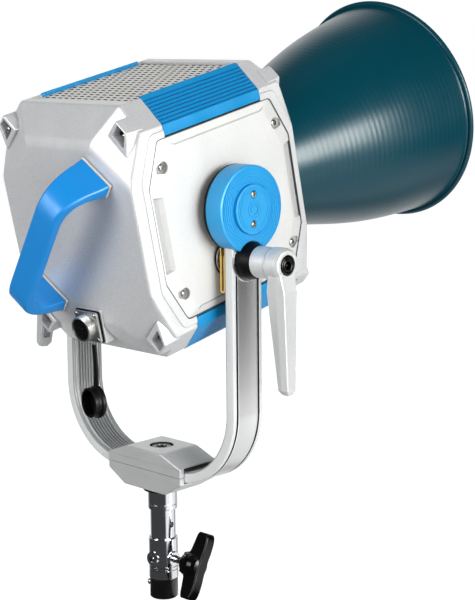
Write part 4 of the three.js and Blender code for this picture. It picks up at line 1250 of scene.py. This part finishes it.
def bar_section():
    """Outline as (depth from the outer face, y), rounded."""
    half = BAR_W / 2
    corners = [(0, -half, 1.6)] + [(depth, y, 0.3) for depth, y in BAR_GROOVE]
    # the middle band is slightly hollow
    for y in (-12, -8.5, -5, -1.7, 1.7, 5, 8.5, 12):
        corners.append((0.4 * (1 - (y / 14.6) ** 2), y, 0))
    corners += [(depth, -y, 0.3) for depth, y in reversed(BAR_GROOVE)]
    corners += [(0, half, 1.6), (BAR_T, half, 1.6)]
    for i in range(BAR_RIBS):
        y = half - 3.2 - (BAR_W - 6.4) * (i + 0.5) / BAR_RIBS
        for offset, depth in ((1.35, 0), (1.15, 1.7), (-1.15, 1.7), (-1.35, 0)):
            corners.append((BAR_T - depth, y + offset, 0.25))
    corners.append((BAR_T, -half, 1.6))
    return soften_each(corners, 3)


def bar():
    section, half = bar_section(), BAR_W / 2
    # path of the outer face: (x, z, inward x, inward z)
    right = [(BAR_OUTER, z, -1, 0) for z in (-80, -100, -120, -140, -160)]
    for k in range(BEND_STEPS + 1):
        t = math.radians(-90 * k / BEND_STEPS)
        c, s = math.cos(t), math.sin(t)
        right.append((BEND_X + BEND_RADIUS * c, BEND_Z + BEND_RADIUS * s, -c, -s))
    path = right + [(x, BEND_Z - BEND_RADIUS, 0, 1) for x in (20, 0, -20)]
    path += [(-x, z, -in_x, in_z) for x, z, in_x, in_z in reversed(right)]
    bend = loft([[(x + in_x * depth, y, z + in_z * depth) for depth, y in section]
                 for x, z, in_x, in_z in path])
    # the upper ends, with their round tops and holes
    arm = loft([[(BAR_OUTER - depth, y, z) for depth, y in section]
                for z in (0, -20, -40, -60, -80)])
    top = prism(arc((0, 0), half, 0, 180, 40) + [(-half, -2), (half, -2)], BAR_X, BAR_OUTER,
                "x", rim=0.7)
    arm = clean(combine(arm, "+", top, "-", rod("x", 10.35, 100, 150, 48),
                        rod("x", 4.5, 100, 150, 32, LOCK_AT)))
    return join(bend, arm, moved(arm, MIRROR_X))


def pick_bar(centre, normal):
    """1 middle band; 2 outer grooves, 3 floors of the inner grooves and 4 inner face, in darker
    paints as painted shade.
    """
    across = abs(centre.x)
    if centre.z > BEND_Z:
        depth = BAR_OUTER - across
    elif across > BEND_X:
        depth = BEND_RADIUS - math.hypot(across - BEND_X, centre.z - BEND_Z)
    else:
        depth = centre.z - (BEND_Z - BEND_RADIUS)
    y = abs(centre.y)
    if 14.5 < y < 17.3:
        return 2 if 0.5 < depth < 2.6 else 0
    if y < 14.4 and -0.5 < depth < 1.9:
        return 1
    if y < 19.5 and BAR_T - 1.9 < depth < BAR_T - 1.5:
        return 3
    return 4 if depth > BAR_T - 1.2 else 0


show("yoke_bar_extrusion", bar(), "yoke",
     ["bar_aluminium", "bar_face", "bar_outer_grooves_painted_shade", "bar_inner_grooves_painted_shade", "bar_inside_painted_shade"], "yoke_bar",
     sharp=14, pick=pick_bar, weighted=False)

# ================================================================ clamp block
BLOCK_TOP, BLOCK_BOTTOM = -274.2, -319.7
BLOCK_X, BLOCK_Y, BLOCK_TOP_X = 58.3, 28.1, 27.4    # half sizes


def block_half(low, high):
    """The part of the block between two heights; corners are (x, z, radius)."""
    right = [(BLOCK_TOP_X, BLOCK_TOP, 16), (BLOCK_X, SEAM_Z + 10.5, 2.0),
             (BLOCK_X, SEAM_Z - 8.5, 2.0), (BLOCK_TOP_X + 5, BLOCK_BOTTOM, 3.0)]
    left = [(-x, z, radius) for x, z, radius in reversed(right)]
    outline = soften_each(left[-1:] + right + left[:-1], 9)
    block = combine(prism(outline, -BLOCK_Y, BLOCK_Y, "y", rim=2.0, steps=5),
                    "&", box((-70, 70), (-40, 40), (low, high)))
    # channel for the bar, flaring upwards at its ends
    channel = [(-70, -284), (-36, -290.6), (36, -290.6), (70, -284), (70, -303.3),
               (-70, -303.3)]
    return combine(block, "-", prism(channel, -BAR_W / 2 - 0.4, BAR_W / 2 + 0.4, "y"))


# 1 on the counterbore's walls, which are painted black as shade
def pick_counterbore(centre, normal):
    inside = math.hypot(centre.x, centre.y) < 13.35 and -292.5 < centre.z < -274.5
    return 1 if inside else 0


# 1 inside the bolt's hex socket, which is painted black as shade
def pick_bolt_socket(centre, normal):
    return 1 if math.hypot(centre.x, centre.y) < 6.2 and centre.z < -276.0 else 0


def clamp_block():
    counterbore = [(0, -274), (13.9, -274), (13.3, -274.5), (13.1, -275.0), (13.1, -286.4),
                   (5.4, -286.4), (5.4, -292), (0, -292)]
    upper = combine(block_half(SEAM_Z + 0.25, 0), "-", lathe("z", counterbore, 72))
    lower = combine(block_half(-400, SEAM_Z - 0.25), "-", rod("z", 8.4, -325, -300, 40))
    show("block_upper_half", clean(upper), "yoke", ["yoke_aluminium", "dark_recess"],
         "block_upper", sharp=30, pick=pick_counterbore)
    show("block_lower_half", clean(lower), "yoke", "yoke_aluminium", "block_lower", sharp=30)

    bolt = lathe("z", [(0, -286.2), (12.0, -286.2), (12.0, -276.7), (11.4, -275.9),
                       (6.9, -275.6), (0, -275.6)], 72, fillet=0.25, steps=2)
    socket = prism(soften(ring(6.0, 6, phase=0), 0.3, 2), -283.5, -275)
    countersink = lathe("z", [(0, -275), (6.4, -275), (5.9, -276.3), (0, -276.3)], 48)
    bolt = combine(bolt, "-", socket, countersink, "+", rod("z", 4.2, -318, -286, 32))
    show("block_bolt_head", bolt, "yoke", ["bolt_oxide", "dark_recess"], "block_bolt",
         pick=pick_bolt_socket)
    washer = [(8.4, -322.5), (16.9, -322.5), (16.9, -324.4), (21.6, -324.4), (21.6, -320.0),
              (8.4, -320.0)]
    show("block_washer_ring", lathe("z", washer, fillet=0.6), "yoke", "black_rubber",
         "block_washer")


clamp_block()

# ================================================================ spigot and stand
# profiles are (radius, z)
WING_Z = -403
WING_AT = (0, WING_Z)
SPIGOT = [(0, -412), (12.6, -412), (14.3, -409.5), (14.3, -347.0), (13.9, -346.3),
          (16.2, -346.3), (16.6, -345.6), (16.6, -341.2), (16.2, -340.8), (16.2, -340.2),
          (16.6, -339.8), (16.6, -323.4), (16.1, -322.9), (8, -322.9), (8, -306.4),
          (0, -306.4)]
SLEEVE = [(14.7, -427), (16.2, -427), (16.6, -426.5), (16.6, -417.4), (16.15, -416.9),
          (16.15, -416.1), (16.6, -415.6), (16.6, -413.6), (16.15, -413.1), (16.15, -412.4),
          (16.6, -411.9), (16.6, -381.0), (16.3, -380.2), (15.8, -379.9), (15.1, -379.9),
          (14.7, -380.4)]
TUBE = [(0, -450), (14.9, -450), (15.75, -449.2), (15.75, -428.0), (15.2, -427.3),
        (14.2, -427.3), (14.2, -418), (12, -418), (12, -444), (0, -444)]


def stand():
    spigot = combine(lathe("z", SPIGOT, 112), "-", rod("x", 3.2, -20, 20, 32, (0, -364)),
                     rod("z", 4.6, -330, -290, 32))
    show("junior_spigot_pin", spigot, "yoke", "chrome", "junior_spigot")
    # bosses on the right and rear of the sleeve, each with its hole
    boss = lathe("x", [(0, 10), (8.2, 10), (8.2, 18.0), (7.6, 18.6), (0, 18.6)], 56, WING_AT)
    sleeve = combine(lathe("z", SLEEVE, 112),
                     "+", boss, moved(boss, Matrix.Rotation(-PI / 2, 4, "Z")),
                     "-", rod("z", 14.7, -428, -379, 96), rod("x", 4.4, 10, 22, 40, WING_AT),
                     rod("y", 4.4, -22, -10, 40, WING_AT))
    show("stand_socket_sleeve", sleeve, "stand", "chrome", "stand_socket")
    show("stand_tube_riser", lathe("z", TUBE, 112), "stand", "black_tube", "stand_tube")
    rivet = lathe("x", [(0, 16.05), (3.6, 16.05), (3.4, 16.9), (2.8, 17.8), (1.6, 18.4),
                        (0, 18.6)], 40, (0, -434))
    rivet = moved(rivet, Matrix.Rotation(math.radians(218), 4, "Z"))
    show("tube_rivet_dome", rivet, "stand", "steel", "tube_rivet")


def threaded_shank():
    profile = [(0, 14.9), (3.2, 14.9), (4, 16)]
    for k in range(14):
        x = 16.0 + 1.2 * k
        profile += [(4.0, x + 0.15), (3.45, x + 0.6), (4.0, x + 1.05)]
    return lathe("x", profile + [(4, 33.8), (0, 33.8)], 48, WING_AT)


# lower half of the grip's outline, (x, z); spans from the listed corners are straight
WING_LOWER = [(34.5, -11), (42.0, -13.5), (44.5, -24), (46.0, -33), (49, -37.5), (59, -37.5),
              (63.0, -31), (63.6, -18), (62.8, -8)]
WING_STRAIGHT = (0, 8, 16, 17)
WING_HUB = [(0, 34.2), (8.6, 34.2), (10.2, 34.9), (12.6, 38.0), (13.6, 43.0), (13.8, 50.5),
            (12.8, 55.5), (10.4, 59.4), (6, 61.6), (0, 62.2)]


def wing():
    points = WING_LOWER + [(x, -z) for x, z in reversed(WING_LOWER)]
    count, outline = len(points), []
    for i in range(count):
        before, start, end, after = (points[k % count] for k in range(i - 1, i + 3))
        for k in range(5):
            x, z = (line_point(start, end, k / 5) if i in WING_STRAIGHT
                    else spline_point(before, start, end, after, k / 5))
            outline.append((min(x, 63.6), max(-37.5, min(37.5, z))))
    grip = combine(prism(outline, -6.6, 6.6, "y", rim=1.8, steps=5),
                   "+", lathe("x", WING_HUB, 72, fillet=0.5))
    return clean(moved(grip, Matrix.Translation((0, 0, WING_Z))
                       @ Matrix.Rotation(math.radians(-25), 4, "X")))


stand()
show("wing_screw_shank_thread", threaded_shank(), "wing_screw", "chrome", "wing_screw_shank")
show("wing_screw_grip_body", wing(), "wing_screw", "black_gloss", "wing_screw_grip", sharp=38)

# ================================================================ reflector
# (outer radius, y)
BELL = [(63.9, 124.9), (65.6, 130), (75.4, 160), (91.1, 210), (106.3, 260), (118.4, 310),
        (126.2, 360), (130.4, 391)]
BELL_WALL = 1.9
LUG_ANGLES = (0, 120, 240)


def bell_curves():
    """Outer and inner curves: a natural cubic spline through BELL, faintly ridged."""
    radii, stations = zip(*BELL)
    count = len(BELL)
    system, bends = np.zeros((count, count)), np.zeros(count)
    system[0, 0] = system[-1, -1] = 1.0
    for k in range(1, count - 1):
        before, after = stations[k] - stations[k - 1], stations[k + 1] - stations[k]
        system[k, k - 1:k + 2] = before, 2 * (before + after), after
        bends[k] = 6 * ((radii[k + 1] - radii[k]) / after - (radii[k] - radii[k - 1]) / before)
    curve = np.linalg.solve(system, bends)
    start, end, steps = 130.0, 390.6, 150
    outer, inner = [], []
    for i in range(steps + 1):
        y = start + (end - start) * i / steps
        j = min(max(k for k in range(count) if stations[k] <= y + 1e-9), count - 2)
        span = stations[j + 1] - stations[j]
        a, b = (stations[j + 1] - y) / span, (y - stations[j]) / span
        radius = (a * radii[j] + b * radii[j + 1]
                  + ((a ** 3 - a) * curve[j] + (b ** 3 - b) * curve[j + 1]) * span * span / 6)
        ridge = math.sin(2 * PI * y / 7.0) * 0.05 + math.sin(2 * PI * y / 5.9 + 1.0) * 0.02
        outer.append((radius + ridge - 0.06, y))
        inner.append((radius - BELL_WALL + ridge * 0.8, y))
    return outer, inner


def reflector():
    outer, inner = bell_curves()
    collar = [(43.6, 112), (45.3, 112), (45.3, 123.4), (46.0, 124.2), (60.2, 124.2),
              (61.4, 124.5), (63.4, 126.9)]
    bead = arc((133.1, 395.25), 3.45, -120, 180, 20)
    profile = (collar + outer + [(130.7, 391.6)] + bead + inner[::-1]
               + [(62.0, 126.6), (43.6, 126.6)])
    lugs = [prism(sector(49.6, 44.4, angle - 9, angle + 9, 12, 8), 112.6, 118.4, "y", rim=0.5)
            for angle in LUG_ANGLES]
    return combine(lathe("y", profile, 192, REFLECTOR_AT), "+", *lugs)


def pick_bell(centre, normal):
    """0 outside, 1 inside."""
    out = Vector((centre.x, 0, centre.z - REFLECTOR_Z))
    outside = out.dot(Vector((normal.x, 0, normal.z))) > 0
    if centre.y > 391.5:
        outside = out.length > 131.0
    elif centre.y < 127:
        outside = outside or normal.y < -0.5
    return 0 if outside else 1


def reflector_mount():
    profile = [(51, 108), (60, 108), (60, 123.6), (46, 123.6), (46, 119.4), (51, 119.4)]
    gaps = [prism(sector(50.6, 40, angle + 18, angle + 42, 12, 6), 119, 124, "y")
            for angle in LUG_ANGLES]
    bayonet = combine(lathe("y", profile, 128, REFLECTOR_AT, fillet=0.5, steps=2), "-", *gaps)
    show("mount_ring_bayonet", bayonet, "head", "turned_ring", "mount_ring")
    show("cover_glass_disc", rod("y", 49, 102, 105, 96, REFLECTOR_AT, rim=0.4), "head",
         "glass", "cover_glass")
    grooves = [box((-6.5, 6.5), (126.0, 127), (-84.6 + 1.9 * k, -83.8 + 1.9 * k))
               for k in range(5)]
    latch = combine(bevel(box((-8, 8), (120.9, 126.4), (-86, -75)), 0.9),
                    "+", box((-6, 6), (120.9, 123.7), (-76, -66)), "-", join(*grooves))
    show("mount_latch_button", latch, "mount_latch", "black_plastic", "mount_latch")


show("reflector_bell", reflector(), "reflector", ["teal_spun", "silver_reflector"],
     "reflector", sharp=38, pick=pick_bell, weighted=False)
reflector_mount()

# ================================================================ connector cap
CAP_Y, CAP_Z, STRAP_TOP = -97.8, -206.2, -145
# (radius, y from the cap's face)
CAP = [(0, 0), (15.6, 0), (16.6, -0.4), (17.5, -1.4), (17.7, -2.2), (17.7, -4.2),
       (17.2, -5.4), (16.3, -5.9), (16, -6.4), (16, -8.3), (15.6, -8.7), (15.6, -9.5),
       (16, -9.9), (16, -12.9), (15.5, -13.4), (13.9, -13.4), (13.4, -12.9), (13.4, -3.4),
       (10.5, -3.4), (10.1, -4.2), (8.8, -4.2), (8.4, -3.4), (0, -3.4)]


def connector_cap():
    """Cap hanging on a strap: a flat tongue that widens downwards."""
    loops = []
    for i in range(15):
        t = i / 14
        z = STRAP_TOP - (STRAP_TOP - (CAP_Z + 15.6)) * t
        x = 3.5 - 0.9 * t + 0.9 * t * t + 1.4 * math.sin(PI * t)
        y = CAP_Y + 1.45 * t
        half_x, half_y = 2.7 + 0.5 * t, 1.3 + 0.15 * t
        section = soften([(x - half_x, y - half_y), (x + half_x, y - half_y),
                          (x + half_x, y + half_y), (x - half_x, y + half_y)], 0.9)
        loops.append([(a, b, z) for a, b in section])
    cap = moved(lathe("y", CAP), Matrix.Translation((6, CAP_Y + 3.4, CAP_Z))
                @ Matrix.Rotation(math.radians(-11.5), 4, "Z"))
    return clean(combine(cap, "+", loft(loops)))


show("connector_cap_rubber", connector_cap(), "connector_cap", "black_rubber",
     "connector_cap", sharp=40)

# ================================================================ CAD pieces kept as they are
KEPT = {
    "chassis": "steel", "heat_sink": "yoke_aluminium", "led_module": "led_phosphor",
    "fan_frame": "black_plastic", "fan_rotor": "black_plastic",
    "control_board": "circuit_board", "pivot_shaft_right": "turned_steel_x",
    "pivot_shaft_left": "turned_steel_x",
}
for name, look in KEPT.items():
    piece = NODES[name]
    piece.data.materials.clear()
    piece.data.materials.append(MATERIALS[look])
    edge = piece.modifiers.new("edge", "BEVEL")
    edge.width, edge.segments = 0.0003, 2
    edge.limit_method, edge.angle_limit = "ANGLE", math.radians(40)

# ================================================================ stage, light, camera (metres)
WHITE = (1, 1, 1, 1)
FLOOR_SEEN, FLOOR_GLOW = 0.16, 0.955    # grey and emission that the camera sees
FLOOR_BOUNCE = 0.42                     # grey that lights the object
# glow of the floor in reflections: azimuth, cosine from and to, strength from and to
BACKDROP_GLOW = (134, 0.45, 0.95, 0.06, 0.90)
RIGHT_GLOW = (8, 0.85, 0.95, 0.0, 1.1)
MIDDLE_GLOW = (46, 0.80, 0.94, 0.0, 1.0)
# room light away from the backdrop: in reflections, and on matt surfaces
ROOM_DARK, ROOM_AMBIENT = 0.03, 0.10


def floor_material():
    """Pale to the camera; in reflections lit only in some directions."""
    material = bpy.data.materials.new("stage_white")
    nodes = Nodes(material)
    rays = nodes.add("LightPath").node.outputs
    seen = nodes.add("AddShader", {
        0: nodes.add("BsdfDiffuse", {0: (FLOOR_SEEN, FLOOR_SEEN, FLOOR_SEEN, 1)}),
        1: nodes.add("Emission", {0: WHITE, 1: FLOOR_GLOW})})
    bounce = nodes.add("BsdfDiffuse", {0: (FLOOR_BOUNCE, FLOOR_BOUNCE, FLOOR_BOUNCE, 1)})
    position = nodes.add("NewGeometry", output="Position")
    heading = nodes.add("VectorMath", {0: position}, operation="NORMALIZE")

    def glow(azimuth, start, end, low, high):
        angle = math.radians(azimuth)
        facing = nodes.add("VectorMath", {0: heading, 1: (math.cos(angle), math.sin(angle), 0)},
                           "Value", operation="DOT_PRODUCT")
        return nodes.smooth(facing, low, high, start, end)

    backdrop, right, middle = (glow(*spec) for spec in (BACKDROP_GLOW, RIGHT_GLOW, MIDDLE_GLOW))
    distance = nodes.add("VectorMath", {0: position}, "Value", operation="LENGTH")
    beyond_stand = nodes.smooth(distance, 0.0, 1.0, start=0.10, end=0.24)
    total = nodes.calc("ADD", backdrop, nodes.calc("MULTIPLY", right, beyond_stand))
    fade = nodes.smooth(distance, 1.0, 0.0, start=0.75, end=1.75)
    total = nodes.calc("MULTIPLY_ADD", middle, fade, total)
    unseen = nodes.add("MixShader", {0: rays["Is Glossy Ray"], 1: bounce,
                                     2: nodes.add("Emission", {1: total})})
    nodes.finish("Material", nodes.add("MixShader", {0: rays["Is Camera Ray"], 1: unseen,
                                                     2: seen}))
    material.cycles.emission_sampling = "NONE"
    return material


def floor():
    mesh = bpy.data.meshes.new("stage_floor")
    mesh.from_pydata([(-40, -40, 0), (40, -40, 0), (40, 40, 0), (-40, 40, 0)], [],
                     [(0, 1, 2, 3)])
    mesh.materials.append(floor_material())
    plane = bpy.data.objects.new("stage_floor", mesh)
    SCENE.collection.objects.link(plane)


def room():
    """A bright backdrop and a dark room behind the camera, which itself sees white."""
    world = bpy.data.worlds.new("studio")
    SCENE.world = world
    nodes = Nodes(world)
    rays = nodes.add("LightPath").node.outputs
    facing = nodes.add("VectorMath", {0: nodes.add("TexCoord", output="Generated"),
                                      1: Vector((-0.69, 0.715, 0.05)).normalized()},
                       "Value", operation="DOT_PRODUCT")
    mirrored = nodes.smooth(facing, ROOM_DARK, 1.0, start=0.55, end=0.96)
    ambient = nodes.smooth(facing, ROOM_AMBIENT, 0.85, start=0.10, end=0.85)
    in_gloss, in_matt, in_view = (nodes.add("Background", {0: WHITE, 1: strength})
                                  for strength in (mirrored, ambient, 1.0))
    unseen = nodes.add("MixShader", {0: rays["Is Diffuse Ray"], 1: in_gloss, 2: in_matt})
    nodes.finish("World", nodes.add("MixShader", {0: rays["Is Camera Ray"], 1: unseen,
                                                  2: in_view}))


LIGHT_AIM = Vector((0, 0, 0.47))
WARM = (1.0, 0.95, 0.86)
# name, azimuth from +X towards +Y, elevation, distance, width, height, power, colour;
# "gloss" boxes are only reflected, "key" and "fill" boxes only shade
LIGHTS = [
    ("key_right", -6, 9, 2.4, 1.3, 1.2, 54, WHITE[:3]),
    ("gloss_right", -5, 5, 2.2, 2.1, 1.4, 68, WHITE[:3]),
    ("gloss_throat", 10, 6, 2.2, 0.75, 0.75, 38, WARM),
    ("softbox_rear_left", -104, 12, 2.3, 1.0, 1.1, 33, WHITE[:3]),
    ("key_top", 150, 68, 2.0, 1.6, 1.6, 11, WHITE[:3]),
    ("fill_back", 148, 10, 3.0, 2.0, 2.0, 30, WHITE[:3]),
    ("fill_front", -42, 10, 3.2, 2.0, 2.0, 20, WHITE[:3]),
]


def softbox(name, azimuth, elevation, distance, width, height, power, colour):
    turn, rise = math.radians(azimuth), math.radians(elevation)
    spot = LIGHT_AIM + Vector((math.cos(turn) * math.cos(rise), math.sin(turn) * math.cos(rise),
                               math.sin(rise))) * distance
    light = bpy.data.lights.new(name, "AREA")
    light.shape = "RECTANGLE"
    light.size, light.size_y = width, height
    light.energy = power
    light.color = colour
    lamp = bpy.data.objects.new(name, light)
    SCENE.collection.objects.link(lamp)
    lamp.location = spot
    lamp.rotation_mode = "QUATERNION"
    lamp.rotation_quaternion = (LIGHT_AIM - spot).to_track_quat("-Z", "Y")
    lamp.visible_glossy = not name.startswith(("fill", "key"))
    lamp.visible_diffuse = not name.startswith("gloss")


CAMERA_PLACE = (1.21912, -1.13643, 0.63446)
CAMERA_ANGLES = (44.055, 10.080, -0.516)    # heading from +Y towards -X, downward pitch, roll


def camera():
    heading, pitch, roll = (math.radians(angle) for angle in CAMERA_ANGLES)
    ahead = Vector((-math.sin(heading) * math.cos(pitch), math.cos(heading) * math.cos(pitch),
                    -math.sin(pitch)))
    level = Vector((math.cos(heading), math.sin(heading), 0))
    above = level.cross(ahead)
    right = level * math.cos(roll) + above * math.sin(roll)
    up = above * math.cos(roll) - level * math.sin(roll)
    lens = bpy.data.cameras.new("camera")
    view = bpy.data.objects.new("camera", lens)
    SCENE.collection.objects.link(view)
    rows = zip(right, up, -ahead, CAMERA_PLACE)
    view.matrix_world = Matrix((*rows, (0, 0, 0, 1)))
    lens.sensor_fit = "VERTICAL"
    lens.sensor_height = lens.sensor_width = 36.0
    lens.lens = 92.62
    lens.clip_start, lens.clip_end = 0.05, 60
    SCENE.camera = view


floor()
room()
for light in LIGHTS:
    softbox(*light)
camera()
SCENE.view_settings.view_transform = "Standard"
SCENE.view_settings.look = "None"
SCENE.view_settings.exposure = 0.0
